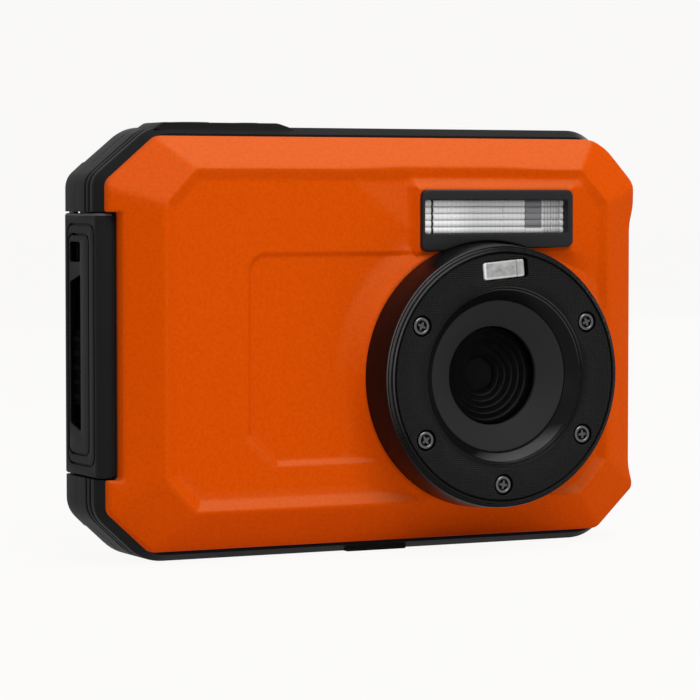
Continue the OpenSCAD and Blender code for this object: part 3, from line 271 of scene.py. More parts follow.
def finish(name, tone, tone_two, gloss, grain=3000.0, depth=0.00002, strength=0.35, cloud=45.0, speckle=False,
           **sockets):
    """A moulded finish: two tones, a range of roughness, and a grain of that scale and depth."""
    material = bpy.data.materials.new(name)
    material.use_nodes = True
    tree = material.node_tree
    skin = put(tree, "Group", {"Vector": put(tree, "TexCoord").outputs["Object"], "Scale": grain,
                               "Cloud Scale": cloud}, node_tree=MOULDED_GRAIN).outputs
    polish = put(tree, "Group", {"Cloud": skin["Cloud"], "Low": gloss[0], "High": gloss[1]},
                 node_tree=HANDLED_GLOSS)
    share = spread(tree, skin["Height"], SPECKLE_LOW, SPECKLE_HIGH) if speckle else skin["Cloud"]
    tones = put(tree, "Mix", {"Factor": share, "A": (*tone, 1.0), "B": (*tone_two, 1.0)}, name="tones",
                data_type="RGBA")
    bump = put(tree, "Bump", {"Height": skin["Height"], "Distance": depth, "Strength": strength},
               name="grain_bump")
    shader = tree.nodes["Principled BSDF"].inputs
    tree.links.new(tones.outputs["Result"], shader["Base Color"])
    tree.links.new(polish.outputs["Roughness"], shader["Roughness"])
    tree.links.new(bump.outputs["Normal"], shader["Normal"])
    for label, value in sockets.items():
        shader[label.replace("_", " ")].default_value = value
    return material


MATTE, SATIN = {"Specular_IOR_Level": 0.05}, {"Specular_IOR_Level": 0.1}
METAL = {"Metallic": 1.0}
SHELL = {"grain": 2600.0, "depth": 0.00003, "strength": 0.5, "Specular_IOR_Level": 0.03}
ORANGE = {"grain": 2000.0, "depth": 0.00005, "strength": 0.75, "speckle": True, "Specular_IOR_Level": 0.006,
          "Specular_Tint": (1.0, 0.65, 0.3, 1.0)}
COATED = {"strength": 0.0, "Transmission_Weight": 1.0, "IOR": 1.005}
# Per slot: the two tones, the range of roughness, and what differs from the plain finish.
LOOKS = {
    "orange_shell": ((0.62, 0.070, 0.0010), (0.685, 0.078, 0.0014), (0.36, 0.44), ORANGE),
    "black_shell": ((0.009, 0.009, 0.0095), (0.013, 0.013, 0.0135), (0.42, 0.54), SHELL),
    "ring_black": ((0.003, 0.003, 0.0034), (0.005, 0.005, 0.0055), (0.24, 0.32),
                   {"Specular_IOR_Level": 0.085}),
    "dish_grey": ((0.0205, 0.0205, 0.0215), (0.025, 0.025, 0.026), (0.5, 0.6), MATTE),
    "baffle_black": ((0.0015, 0.0015, 0.0015), (0.0025, 0.0025, 0.0025), (0.25, 0.32),
                     {"Specular_IOR_Level": 0.02}),
    "bezel_black": ((0.016, 0.016, 0.017), (0.02, 0.02, 0.021), (0.26, 0.34), SATIN),
    "control_black": ((0.010, 0.010, 0.011), (0.015, 0.015, 0.016), (0.45, 0.6), SATIN),
    "lock_orange": ((0.020, 0.005, 0.002), (0.026, 0.006, 0.003), (0.45, 0.55), MATTE),
    "screw_steel": ((0.05, 0.05, 0.052), (0.075, 0.075, 0.078), (0.24, 0.34), METAL),
    "bush_brass": ((0.55, 0.38, 0.14), (0.62, 0.44, 0.18), (0.28, 0.4), METAL),
    "seal_rubber": ((0.014, 0.014, 0.014), (0.02, 0.02, 0.02), (0.65, 0.8), MATTE),
    "clear_glass": ((0.95, 0.98, 0.98), (0.96, 0.98, 0.98), (0.0, 0.02), COATED),
    "flash_clear": ((0.6, 0.6, 0.61), (0.8, 0.8, 0.8), (0.2, 0.3), {}),
    "lamp_frost": ((0.10, 0.10, 0.10), (0.56, 0.56, 0.55), (0.25, 0.4), {"cloud": 900.0}),
    "display_black": ((0.004, 0.004, 0.005), (0.005, 0.005, 0.006), (0.06, 0.1),
                      {"strength": 0.02, "Specular_IOR_Level": 0.3}),
    "bright_metal": ((0.7, 0.7, 0.71), (0.78, 0.78, 0.79), (0.18, 0.3), METAL),
    "board_green": ((0.012, 0.075, 0.03), (0.018, 0.095, 0.04), (0.35, 0.5), {}),
    "device_dark": ((0.022, 0.026, 0.034), (0.03, 0.034, 0.042), (0.45, 0.6), {})}
SLOT_MATERIALS = {slot: finish(slot, *look, **more) for slot, (*look, more) in LOOKS.items()}
# Latch and lock: their own dark colour, deepened to near black by painted shade of the recesses they sit in
LATCH_BLACK_SHADED = finish("latch_black_shaded", (0.001, 0.001, 0.001), (0.002, 0.002, 0.002), (0.6, 0.7),
                     Specular_IOR_Level=0.005)
DOOR_BLACK = finish("door_black", (0.010, 0.010, 0.0105), (0.014, 0.014, 0.0145), (0.42, 0.54), **SHELL)
RING_STEEL = finish("ring_screw_steel", (0.09, 0.09, 0.093), (0.12, 0.12, 0.123), (0.24, 0.34), **METAL)
COATED_LENS = finish("coated_lens", (0.001, 0.001, 0.0015), (0.0015, 0.0012, 0.002), (0.05, 0.08),
                     strength=0.01, **MATTE)
slot_of = {part["node"]: part["material_slot"] for part in frame["record"]["subparts"]}
for name, item in nodes.items():
    item.data.materials.clear()
    item.data.materials.append(COATED_LENS if name in ("front_lens", "rear_lens")
                               else SLOT_MATERIALS[slot_of[name]])
for name in ("window_glass", "front_lens", "rear_lens", "ir_filter"):
    nodes[name].visible_shadow = nodes[name].visible_diffuse = False
print("slot materials", len(SLOT_MATERIALS), "on", len(nodes), "nodes")

# %% [markdown]
# Most pieces are built from flat outlines: a fill between an outer loop and its holes, and walls that join
# loops at different depths. With three or four loops close together, a wall's edge gets the small radius
# that every moulding has. The helpers below draw the loops.

# %% Outline helpers
CORNER_SHARE = 0.45


def circle_loop(u, v, r, count=48):
    """Points of a circle, counter-clockwise."""
    return [(u + r * math.cos(2 * math.pi * i / count), v + r * math.sin(2 * math.pi * i / count))
            for i in range(count)]


def box_loop(u, v, w, h, r, steps=5):
    """Points of a rectangle with round corners, about a centre, counter-clockwise."""
    loop = []
    for i, j, turn in ((1, -1, -90), (1, 1, 0), (-1, 1, 90), (-1, -1, 180)):
        for k in range(steps + 1):
            a = math.radians(turn + 90.0 * k / steps)
            loop.append((u + i * (w / 2 - r) + r * math.cos(a), v + j * (h / 2 - r) + r * math.sin(a)))
    return loop


def sides(outline):
    """The edges of a closed outline, as pairs of points."""
    return zip(outline, outline[1:] + outline[:1])


def corners(outline):
    """Each point of a closed outline with the points before and after it."""
    return zip(outline[-1:] + outline[:-1], outline, outline[1:] + outline[:1])


def bend(p, q, s, r, steps):
    """Points of a curve that cuts the corner q between p and s, over a length r to each side."""
    p, q, s = Vector(p), Vector(q), Vector(s)
    a, b = (q + (end - q).normalized() * min(r, (end - q).length * CORNER_SHARE) for end in (p, s))
    parts = [k / steps for k in range(steps + 1)]
    return [tuple(a * (1 - t) ** 2 + q * (2 * t * (1 - t)) + b * t * t) for t in parts]


def soft_corners(outline, r, steps=4):
    """An outline whose corners are rounded over a length r to each side, or over a list of lengths."""
    sizes = r if isinstance(r, list) else [r] * len(outline)
    return [point for (p, q, s), size in zip(corners(outline), sizes) for point in bend(p, q, s, size, steps)]


def soft_line(points, r, steps=3):
    """An open line of (radius, depth) points with its inner corners rounded."""
    inner = [point for p, q, s in zip(points, points[1:], points[2:]) for point in bend(p, q, s, r, steps)]
    return [points[0], *inner, points[-1]]


def inset_outline(outline, d):
    """A counter-clockwise outline moved inwards by d, with its corners mitred."""
    moved = []
    for p, q, s in corners(outline):
        p, q, s = Vector(p), Vector(q), Vector(s)
        a, b = (q - p).normalized(), (s - q).normalized()
        na, nb = Vector((-a.y, a.x)), Vector((-b.y, b.x))
        moved.append(tuple(q + (na + nb) * (d / (1.0 + na.dot(nb)))))
    return moved


def stepped(outline, step, marks=()):
    """An outline with edges no longer than a step, and a point where an edge passes a mark (axis, value)."""
    points = []
    for p, q in sides(outline):
        cuts = [0.0, 1.0]
        for axis, value in marks:
            if abs(q[axis] - p[axis]) > 1e-9:
                t = (value - p[axis]) / (q[axis] - p[axis])
                if 1e-4 < t < 1.0 - 1e-4:
                    cuts.append(t)
        cuts.sort()
        for a, b in zip(cuts, cuts[1:]):
            count = max(1, math.ceil((b - a) * math.dist(p, q) / step))
            for t in (a + (b - a) * i / count for i in range(count)):
                points.append((p[0] + (q[0] - p[0]) * t, p[1] + (q[1] - p[1]) * t))
    return points


def edge_distance(x, z, outline):
    """Distance from points to the nearest edge of an outline."""
    best = np.full(x.shape, 1e9)
    for p, q in sides(outline):
        dx, dz = q[0] - p[0], q[1] - p[1]
        t = np.clip(((x - p[0]) * dx + (z - p[1]) * dz) / (dx * dx + dz * dz), 0.0, 1.0)
        best = np.minimum(best, np.hypot(x - p[0] - t * dx, z - p[1] - t * dz))
    return best


def within(x, z, outline):
    """True for points inside an outline."""
    odd = np.zeros(x.shape, bool)
    for p, q in sides(outline):
        if p[1] != q[1]:
            odd ^= ((p[1] > z) != (q[1] > z)) & (x < (q[0] - p[0]) * (z - p[1]) / (q[1] - p[1]) + p[0])
    return odd


def triangulate(loops, extra=()):
    """Points and triangles between an outer loop and its holes, with extra points inside."""
    points, edges = [], []
    for loop in loops:
        start = len(points)
        points.extend(loop)
        edges.extend((start + i, start + (i + 1) % len(loop)) for i in range(len(loop)))
    points.extend(extra)
    flat, _, faces, _, _, _ = delaunay_2d_cdt([Vector(p) for p in points], edges, [], 0, 1e-6)
    u = np.array([p.x for p in flat])
    v = np.array([p.y for p in flat])
    index = np.array(faces)
    mid_u, mid_v = u[index].mean(axis=1), v[index].mean(axis=1)
    solid = within(mid_u, mid_v, loops[0])
    for hole in loops[1:]:
        solid &= ~within(mid_u, mid_v, hole)
    return u, v, index[solid]


def rim_rows(loop, depth, r, end, steps):
    """Rows over an edge's radius and down to its end: r is above zero for an outer edge, below for a hole."""
    turns = [math.radians(90.0 * k / steps) for k in range(steps + 1)]
    rows = [(inset_outline(loop, r * (1 - math.sin(a))), depth - abs(r) * (1 - math.cos(a))) for a in turns]
    return rows + [(loop, end)]


def hole_rim(loop, depth, r, floor):
    """Rows from the flat round a hole, over a small radius, down to its floor."""
    return rim_rows(loop, depth, -r, floor, 3)


def edge_rim(loop, depth, r, foot):
    """Rows from the flat inside an outer edge, over its radius, down to its foot."""
    return rim_rows(loop, depth, r, foot, 4)


print("rows of a hole's rim", len(hole_rim(circle_loop(0, 0, 1.7), 14.0, 0.12, 13.1)))

# %% [markdown]
# One class gathers the fills and walls of a piece. A piece is drawn as a view from some side, in two lengths
# and a depth, and a small function turns these into the model's X, Y and Z. Each new piece takes the finish
# of the node that it stands for, and moves with the body of that node.

# %% Pieces
body_of_node = {n: b for b, members in frame["record"]["behaviour"]["bodies"].items() for n in members}


def smooth(mesh, sharp):
    """Shades a mesh smooth, but for edges sharper than an angle."""
    for face in mesh.polygons:
        face.use_smooth = True
    mesh.set_sharp_from_angle(angle=math.radians(sharp))
    return mesh


def mesh_from(name, points, faces, sharp):
    """A smooth mesh in metres from points in millimetres, with outward normals and sharp edges marked."""
    mesh = bpy.data.meshes.new(name)
    metres = [(x * MM, (y + SEAM_Y) * MM, z * MM) for x, y, z in points]
    mesh.from_pydata(metres, [], [tuple(f) for f in faces])
    work = bmesh.new()
    work.from_mesh(mesh)
    bmesh.ops.remove_doubles(work, verts=work.verts, dist=2e-7)
    bmesh.ops.recalc_face_normals(work, faces=work.faces)
    work.to_mesh(mesh)
    work.free()
    return smooth(mesh, sharp)


def stand_for(item, node, material=None):
    """The piece takes the node's finish, moves with its body and stands for it."""
    item.data.materials.clear()
    item.data.materials.append(material or SLOT_MATERIALS[slot_of[node]])
    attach(item, body_of_node[node])
    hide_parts(node)
    return item


def new_piece(name, node, points, faces, sharp=40.0, material=None):
    """A piece from points in millimetres that stands for a node."""
    return stand_for(link(name, mesh_from(name, points, faces, sharp)), node, material)


class Moulding:
    """Gathers the flat fills and the walls of one piece; place turns (u, v, depth) into (x, y, z)."""

    def __init__(self, place):
        self.place, self.points, self.faces = place, [], []

    def row(self, loop, depth):
        """The indices of a loop's points, added at a depth."""
        start = len(self.points)
        self.points += [self.place(u, v, depth) for u, v in loop]
        return list(range(start, len(self.points)))

    def wall(self, rows, closed=True, is_open=None):
        """Quads between loops of as many points each, given as (loop, depth), but for those left open."""
        indices = [self.row(loop, depth) for loop, depth in rows]
        for j, (last, row) in enumerate(zip(indices, indices[1:])):
            count = len(row)
            for i in range(count if closed else count - 1):
                k = (i + 1) % count
                if not (is_open and is_open(j, i)):
                    self.faces.append((last[i], last[k], row[k], row[i]))

    def cap(self, loop, depth):
        """One flat face inside a loop."""
        self.faces.append(tuple(self.row(loop, depth)))

    def fill(self, depth, outer, *holes):
        """A flat fill between an outer loop and its holes."""
        u, v, faces = triangulate([outer, *holes])
        start = len(self.points)
        self.points += [self.place(a, b, depth) for a, b in zip(u, v)]
        self.faces += [tuple(int(start + i) for i in f) for f in faces]

    def pocket(self, loop, depth, r, floor, *holes):
        """A hole's rim and its floor; returns the loop that the flat round the hole is cut to."""
        self.wall(hole_rim(loop, depth, r, floor))
        self.fill(floor, loop, *holes)
        return inset_outline(loop, -r)

    def piece(self, name, node, sharp=40.0, material=None):
        """The piece that the fills and walls make."""
        return new_piece(name, node, self.points, self.faces, sharp, material)


def front_of(u, v, w):
    """From a front view in X and Z, and a distance in front of the seam, to the model."""
    return (u, -w, v)


def back_of(u, v, w):
    """From a view in X and Z, and a distance behind the seam, to the model."""
    return (u, w, v)


def side_of(u, v, w):
    """From a view of the left side in Y and Z, and a distance to the left, to the model."""
    return (-w, u, v)


def top_of(u, v, w):
    """From a plan in X and Y, and a height, to the model."""
    return (u, v, w)


# %% [markdown]
# The front cover is one moulding whose outside can be seen as a height over its outline: bevels, a
# recessed face, a grip panel, the lens boss and the flash pad. So it is drawn as a function of X and Z,
# with soft minimums and maximums for the rounded creases, on a mesh that is fine near the creases and
# coarse elsewhere.

# %% Heights of the front cover
COVER_HALF, COVER_LO, COVER_HI = 48.25, 1.8, 67.8
NOTCH_X, WAIST_X = -46.25, 47.05
DOOR_LO, DOOR_HI = 13.5, 55.8
SIDE, RIM, FACE, PANEL, BOSS = 1.5, 6.3, 5.6, 5.1, 6.7
RIM_HALF, RIM_LO, RIM_HI = 40.5, 8.15, 62.8
TOP_CUT, LOW_CUT, RIM_CUT = (8.5, 7.2), (7.2, 6.6), (5.2, 5.5)
PANEL_X, PANEL_LO, PANEL_HI, PANEL_ROUND, PANEL_BLUNT = -26.0, 15.2, 49.3, 3.3, 5.0
LENS_X, LENS_Z = 16.2, 28.9
BOSS_R, BOSS_FADE = 22.35, 4.4
BEZEL_X, BEZEL_Z, BEZEL_W, BEZEL_H, BEZEL_SEAT = 18.5, 54.4, 28.4, 9.8, 0.6
BEVEL_CREASE, RIM_CREASE, PANEL_CREASE = 0.35, 0.14, 0.1
RIM_START, RIM_FALL, PANEL_FALL, PANEL_END, PANEL_FADE = 0.3, 1.7, 0.65, 14.0, 6.0
LEAN_X, LEAN_Z, LEAN_WAY = -3.5, 58.0, (0.623, 0.783)
LEAN, LEAN_REACH, LEAN_END, LEAN_FADE = 0.07, 6.0, 30.0, 10.0
SEAT_RIGHT, SEAT_LEFT, SEAT_TOP, SEAT_LOW = 7.0, 2.0, 2.6, 5.0
CAVITY_SIDE, CAVITY_END, CAVITY_CUT, CAVITY_SLOPE, CAVITY_DEPTH = 4.1, 2.0, 11.5, 0.55, 3.7


def soft_min(a, b, k):
    """The smaller of two heights, with a rounded crease of width k."""
    h = np.maximum(k - np.abs(a - b), 0.0) / k
    return np.minimum(a, b) - h * h * k / 4.0


def soft_max(a, b, k):
    """The larger of two heights, with a rounded crease of width k."""
    return -soft_min(-a, -b, k)


def plane(p, q, r):
    """Height function of the plane through three points (x, z, height)."""
    p, q, r = (np.array(v, float) for v in (p, q, r))
    n = np.cross(q - p, r - p)
    return lambda x, z: p[2] - (n[0] * (x - p[0]) + n[1] * (z - p[1])) / n[2]


def corner_plane(sx, sz):
    """Plane of a corner facet, through the middle of its outer edge and the ends of its inner one."""
    cut, outer, rim = (TOP_CUT, COVER_HI, RIM_HI) if sz > 0 else (LOW_CUT, COVER_LO, RIM_LO)
    return plane((sx * (COVER_HALF - cut[0] / 2), outer - sz * cut[1] / 2, SIDE),
                 (sx * RIM_HALF, rim - sz * RIM_CUT[1], RIM), (sx * (RIM_HALF - RIM_CUT[0]), rim, RIM))


BEVELS = [plane((s * COVER_HALF, 0, SIDE), (s * COVER_HALF, 1, SIDE), (s * RIM_HALF, 0, RIM))
          for s in (-1, 1)]
BEVELS += [plane((0, outer, SIDE), (1, outer, SIDE), (0, rim, RIM))
           for outer, rim in ((COVER_HI, RIM_HI), (COVER_LO, RIM_LO))]
BEVELS += [corner_plane(sx, sz) for sz in (1, -1) for sx in (-1, 1)]


def inside_rim(x, z):
    """Distance inside the cut-cornered outline of the rim."""
    u, v = RIM_CUT
    from_side, from_top, from_low = RIM_HALF - np.abs(x), RIM_HI - z, z - RIM_LO
    top, low = ((from_side * v + d * u - u * v) / math.hypot(u, v) for d in (from_top, from_low))
    return np.minimum(np.minimum(from_side, np.minimum(from_top, from_low)), np.minimum(top, low))


def inside_panel(x, z):
    """Distance inside the grip panel: round upper corner, blunt lower one, open towards the lens."""
    left, top, low = x - PANEL_X, PANEL_HI - z, z - PANEL_LO
    corner = PANEL_ROUND - np.hypot(np.maximum(PANEL_ROUND - left, 0.0), np.maximum(PANEL_ROUND - top, 0.0))
    blunt = (left + low - PANEL_BLUNT) / math.sqrt(2.0)
    return np.minimum(np.minimum(corner, np.minimum(left, top)), np.minimum(low, blunt))


def slope(d, start, width, high, low, k):
    """Height that falls from high to low over a width of d, with creases of width k."""
    line = high + (low - high) * (d - start) / width
    return soft_max(soft_min(line, np.full_like(line, high), k), np.full_like(line, low), k)


def cover_height(x, z):
    """Distance of the cover's outside in front of the seam."""
    face = slope(inside_rim(x, z), RIM_START, RIM_FALL, RIM, FACE, RIM_CREASE)
    sunk = FACE - PANEL - slope(inside_panel(x, z), 0.0, PANEL_FALL, FACE - PANEL, 0.0, PANEL_CREASE)
    face = face - sunk * np.clip((PANEL_END - x) / PANEL_FADE, 0.0, 1.0)
    # Above the flash the face leans back a little.
    beside_flash = np.clip((x - LEAN_X) * LEAN_WAY[0] + (z - LEAN_Z) * LEAN_WAY[1], 0.0, LEAN_REACH)
    face = face - LEAN * beside_flash * np.clip((LEAN_END - x) / LEAN_FADE, 0.0, 1.0)
    # The boss and the flash pad rise out of the face in hollow curves.
    out_boss = np.clip((np.hypot(x - LENS_X, z - LENS_Z) - BOSS_R) / BOSS_FADE, 0.0, 1.0)
    beyond_x = np.maximum(np.abs(x - BEZEL_X) - (BEZEL_W + BEZEL_SEAT) / 2, 0.0)
    beyond_z = np.maximum(np.abs(z - BEZEL_Z) - (BEZEL_H + BEZEL_SEAT) / 2, 0.0)
    out_pad = np.hypot(beyond_x / np.where(x > BEZEL_X, SEAT_RIGHT, SEAT_LEFT),
                       beyond_z / np.where(z > BEZEL_Z, SEAT_TOP, SEAT_LOW))
    rise = np.maximum((1.0 - out_boss) ** 2, (1.0 - np.clip(out_pad, 0.0, 1.0)) ** 2)
    height = face + (BOSS - face) * rise
    for bevel in BEVELS:
        height = soft_min(height, bevel(x, z), BEVEL_CREASE)
    return height


def cavity_height(x, z):
    """Distance of the cover's inside in front of the seam."""
    from_side, from_end = COVER_HALF - np.abs(x), np.minimum(COVER_HI - z, z - COVER_LO)
    d = np.minimum(from_side - CAVITY_SIDE, from_end - CAVITY_END)
    corner = (from_side + from_end - CAVITY_CUT) / math.sqrt(2.0)
    return np.clip(np.minimum(d, corner) * CAVITY_SLOPE, 0.0, CAVITY_DEPTH)


print("cover height over the face and boss", cover_height(np.array([-30.0, -6.5]), np.array([35.0, 28.9])))

# %% [markdown]
# The mesh needs points where the height bends. A coarse grid covers everything, and two finer ones keep only
# the points near a crease. Rows close to the outline carry the small radius of the outer edge.

# %% Outline and points of the front cover
COVER_OUTLINE = soft_corners([
    (-COVER_HALF, 8.4), (-41.05, COVER_LO), (41.05, COVER_LO), (COVER_HALF, 8.4), (COVER_HALF, 9.4),
    (WAIST_X, 12.4), (WAIST_X, 53.4), (COVER_HALF, 56.4), (48.45, 60.6), (43.3, 66.2), (39.75, COVER_HI),
    (-39.75, COVER_HI), (-COVER_HALF, 60.6), (-COVER_HALF, DOOR_HI), (NOTCH_X, DOOR_HI), (NOTCH_X, DOOR_LO),
    (-COVER_HALF, DOOR_LO)],
    [0.9, 0.9, 0.9, 0.5, 0.5, 1.2, 1.2, 1.2, 1.2, 1.5, 1.2, 0.9, 0.9, 0.3, 0.3, 0.7, 0.3])
BORE = circle_loop(LENS_X, LENS_Z, 9.0, 72)
FLASH_HOLE = box_loop(18.3, BEZEL_Z, 27.5, 8.2, 1.0)
EDGE_R, EDGE_STEP = 0.45, 0.6
EDGE_ROWS = (0.04, 0.13, 0.27, EDGE_R)
EDGE_CLEAR, HOLE_CLEAR = 0.15, 0.2
COARSE_GRID = 1.6
# Step of a finer grid, the reach over which the bend is measured, and the least bend that keeps a point.
FINE_GRIDS = ((0.4, 0.5, 0.012), (0.2, 0.2, 0.02))


def grid(step):
    """All points of a square grid over the cover."""
    gx, gz = np.meshgrid(np.arange(-48.0, 48.01, step), np.arange(2.0, 67.81, step))
    return gx.ravel(), gz.ravel()


def bend_at(x, z, h):
    """How far the cover's height leaves a straight line over a distance h."""
    mid = cover_height(x, z)
    along = np.abs(cover_height(x - h, z) + cover_height(x + h, z) - 2 * mid)
    up = np.abs(cover_height(x, z - h) + cover_height(x, z + h) - 2 * mid)
    return np.maximum(along, up)


def inner_points():
    """The grid points that lie inside the outline, clear of its edge and of the holes."""
    grids = [grid(COARSE_GRID)]
    for step, reach, least in FINE_GRIDS:
        x, z = grid(step)
        bent = bend_at(x, z, reach) > least
        grids.append((x[bent], z[bent]))
    x, z = (np.concatenate(parts) for parts in zip(*grids))
    keep = within(x, z, COVER_OUTLINE) & (edge_distance(x, z, COVER_OUTLINE) > EDGE_R + EDGE_CLEAR)
    for hole in (BORE, FLASH_HOLE):
        keep &= ~within(x, z, hole) & (edge_distance(x, z, hole) > HOLE_CLEAR)
    return np.unique(np.round(np.stack([x[keep], z[keep]], 1), 4), axis=0)


inner = inner_points()
print("points inside the cover", len(inner))

# %% Mesh of the front cover


def cover_shape():
    """Points and faces: front and back on one triangulation, joined along the outline and the holes."""
    extra = [p for d in EDGE_ROWS for p in stepped(inset_outline(COVER_OUTLINE, d), EDGE_STEP)]
    loops = [stepped(COVER_OUTLINE, EDGE_STEP), BORE, stepped(FLASH_HOLE, 1.0)]
    x, z, faces = triangulate(loops, extra + [tuple(p) for p in inner])
    rim = np.clip(1.0 - edge_distance(x, z, COVER_OUTLINE) / EDGE_R, 0.0, 1.0)
    front = cover_height(x, z) - EDGE_R * (1.0 - np.sqrt(np.maximum(1.0 - rim * rim, 0.0)))
    points = [front_of(*p) for w in (front, cavity_height(x, z)) for p in zip(x, z, w)]
    count = len(x)
    shell = [tuple(f) for f in faces] + [tuple(count + i for i in f[::-1]) for f in faces]
    once = {(int(f[k]), int(f[k - 2])) for f in faces for k in range(3)}
    shell += [(b, a, count + a, count + b) for a, b in sorted(once) if (b, a) not in once]
    return points, shell


front_cover = new_piece("front_cover_moulded", "front_cover", *cover_shape(), 50.0)
print("front cover", len(front_cover.data.polygons), "faces")

# %% [markdown]
# The light is a broad box overhead: it puts a pale sheen on every wall of the cover that looks up, and the
# walls that look left are a little deeper in tone. The white room would put the same sheen on every bevel,
# so the plastic's own shine is very low, and both tones are painted into the colour by the surface's
# direction: a painted highlight on the walls that look up and painted shade on those that look left.

# %% Painted highlight on the upward walls, painted shade on the left ones


def paint_sheen_and_shade(material):
    """Paints a highlight on the walls that look up, as a paler tone, and shade on those that look left, as a
    deeper one.
    """
    tree = material.node_tree
    facing = axes_of(tree, "Normal")
    up = calc(tree, "POWER", spread(tree, facing["Z"], 0.0, 0.32), 0.75)
    for ends in ((-0.35, -0.1, 0.4, 1.0), (0.03, 0.22, 1.0, 0.0)):
        up = calc(tree, "MULTIPLY", up, spread(tree, facing["X"], *ends))
    left = spread(tree, facing["Z"], 0.0, 0.3, 1.0, 0.0)
    for ends in ((-0.5, -0.2, 1.0, 0.0), (-0.9, -0.7, 0.0, 1.0)):
        left = calc(tree, "MULTIPLY", left, spread(tree, facing["X"], *ends))
    # left: painted shade on walls that look left; up: painted highlight on walls that look up
    paint(tree, [(left, (0.93, 0.9, 0.4), 1.0, "MULTIPLY"), (up, (0.0, 0.036, 0.021), 1.0, "ADD")])


# Painted highlight and painted shade in the orange shell's colour
paint_sheen_and_shade(SLOT_MATERIALS["orange_shell"])
print("bloom on the orange shell")

# %% [markdown]
# The lens ring is bolted on. Its flat front carries five screw recesses and the lamp's pocket, so that
# flat is a fill with six holes. All the rest is turned: lip and groove at the outer edge, a chamfer, a
# tapered side, and inside a narrow ledge and a cone down to the dish.

# %% Lens ring
RING_FRONT, RING_FLAT_OUT, RING_FLAT_IN = 14.0, 20.0, 14.9
SCREW_R, SCREW_SEAT, SCREW_ANGLES = 17.6, 13.1, (29.5, 151, 214, 269, 326)
SCREW_PLACES = [(SCREW_R * math.cos(a), SCREW_R * math.sin(a)) for a in map(math.radians, SCREW_ANGLES)]
LAMP_U, LAMP_V, LAMP_TILT, LAMP_FLOOR = -0.3, 17.45, 5.0, 11.6
RECESS_R, RECESS_RIM, POCKET_RIM = 1.72, 0.1, 0.06
# Radius and depth along the turned part, from the flat's outer edge round the back to its inner edge.
RING_LINE = [
    (RING_FLAT_OUT, RING_FRONT), (20.04, 13.65), (20.3, 13.65), (20.34, 14.0), (20.62, 14.0), (20.66, 13.66),
    (20.94, 13.66), (20.98, 13.36), (21.3, 13.36), (21.4, 13.1), (21.9, 6.7), (10.2, 6.7), (10.2, 10.5),
    (12.45, 10.5), (12.45, 11.65), (14.05, 13.45), (14.2, 13.62), (14.5, 13.62), (14.62, 13.9),
    (RING_FLAT_IN, RING_FRONT)]


def turned_loop(loop, degrees):
    """A loop turned about the lamp's middle."""
    c, s = math.cos(math.radians(degrees)), math.sin(math.radians(degrees))
    return [(LAMP_U + (u - LAMP_U) * c - (v - LAMP_V) * s, LAMP_V + (u - LAMP_U) * s + (v - LAMP_V) * c)
            for u, v in loop]


def on_lens_axis(u, v, w):
    """From the ring's own coordinates to the model's."""
    return (LENS_X + u, -w, LENS_Z + v)


def axis_loop(r):
    """A circle about the lens axis."""
    return circle_loop(0.0, 0.0, r, 144)


def turned_rows(line):
    """Rows of a profile of (radius, depth) turned about the lens axis."""
    return [(axis_loop(r), w) for r, w in line]


ring = Moulding(on_lens_axis)
ring.wall(turned_rows(soft_line(RING_LINE, 0.09)))
lamp_pocket = turned_loop(box_loop(LAMP_U + 0.25, LAMP_V, 8.4, 3.2, 0.6), LAMP_TILT)
ring_holes = [ring.pocket(circle_loop(u, v, RECESS_R, 32), RING_FRONT, RECESS_RIM, SCREW_SEAT)
              for u, v in SCREW_PLACES]
ring_holes.append(ring.pocket(lamp_pocket, RING_FRONT, POCKET_RIM, LAMP_FLOOR))
ring.fill(RING_FRONT, axis_loop(RING_FLAT_OUT), axis_loop(RING_FLAT_IN), *ring_holes)
lens_ring = ring.piece("lens_ring_turned", "lens_ring")
print("lens ring", len(lens_ring.data.polygons), "faces")

# %% [markdown]
# The ring's flat front has a fine cross-hatched moulding texture, but its cone and side are plain. A mask
# from the surface normal keeps the hatch to faces that look straight forward. The edges that catch the light
# get painted highlights: thin paler bands about the lens axis, each strongest towards one direction.

# %% Hatch and painted edge highlights of the ring
HATCH_PITCH = 0.62
# Tone of the painted highlights on edges that catch the light
PAINTED_HIGHLIGHT = (0.11, 0.11, 0.115)
# Radius and half width in mm, direction in degrees, reach as a cosine and strength of each band of painted
# highlight: the lip's edges at the upper left, the inner ledge at the upper right, and the cone where the box
# overhead mirrors in it.
RING_BANDS = [(20.5, 0.13, 150, 0.55, 0.6), (20.98, 0.1, 150, 0.55, 0.6), (21.34, 0.05, 150, 0.55, 0.8),
              (14.2, 0.08, 60, 0.55, 0.4), (14.62, 0.08, 60, 0.55, 0.4), (13.25, 0.62, -75, 0.8, 0.5)]


def hatch_ring(material):
    """Adds a fine cross hatch to the forward faces of the ring's finish."""
    tree = material.node_tree
    place = axes_of(tree, "Object")
    hatch = spread(tree, axes_of(tree, "Normal")["Y"], -0.98, -0.999)
    for sign in (1.0, -1.0):
        along = calc(tree, "MULTIPLY_ADD", place["X"], sign, place["Z"])
        wave = calc(tree, "SINE", calc(tree, "MULTIPLY", along, 2.0 * math.pi / (HATCH_PITCH * MM)))
        hatch = calc(tree, "MULTIPLY", hatch, wave)
    relief = put(tree, "Bump", {"Height": hatch, "Distance": 0.1 * MM, "Strength": 0.9})
    tree.links.new(relief.outputs["Normal"], tree.nodes["grain_bump"].inputs["Normal"])


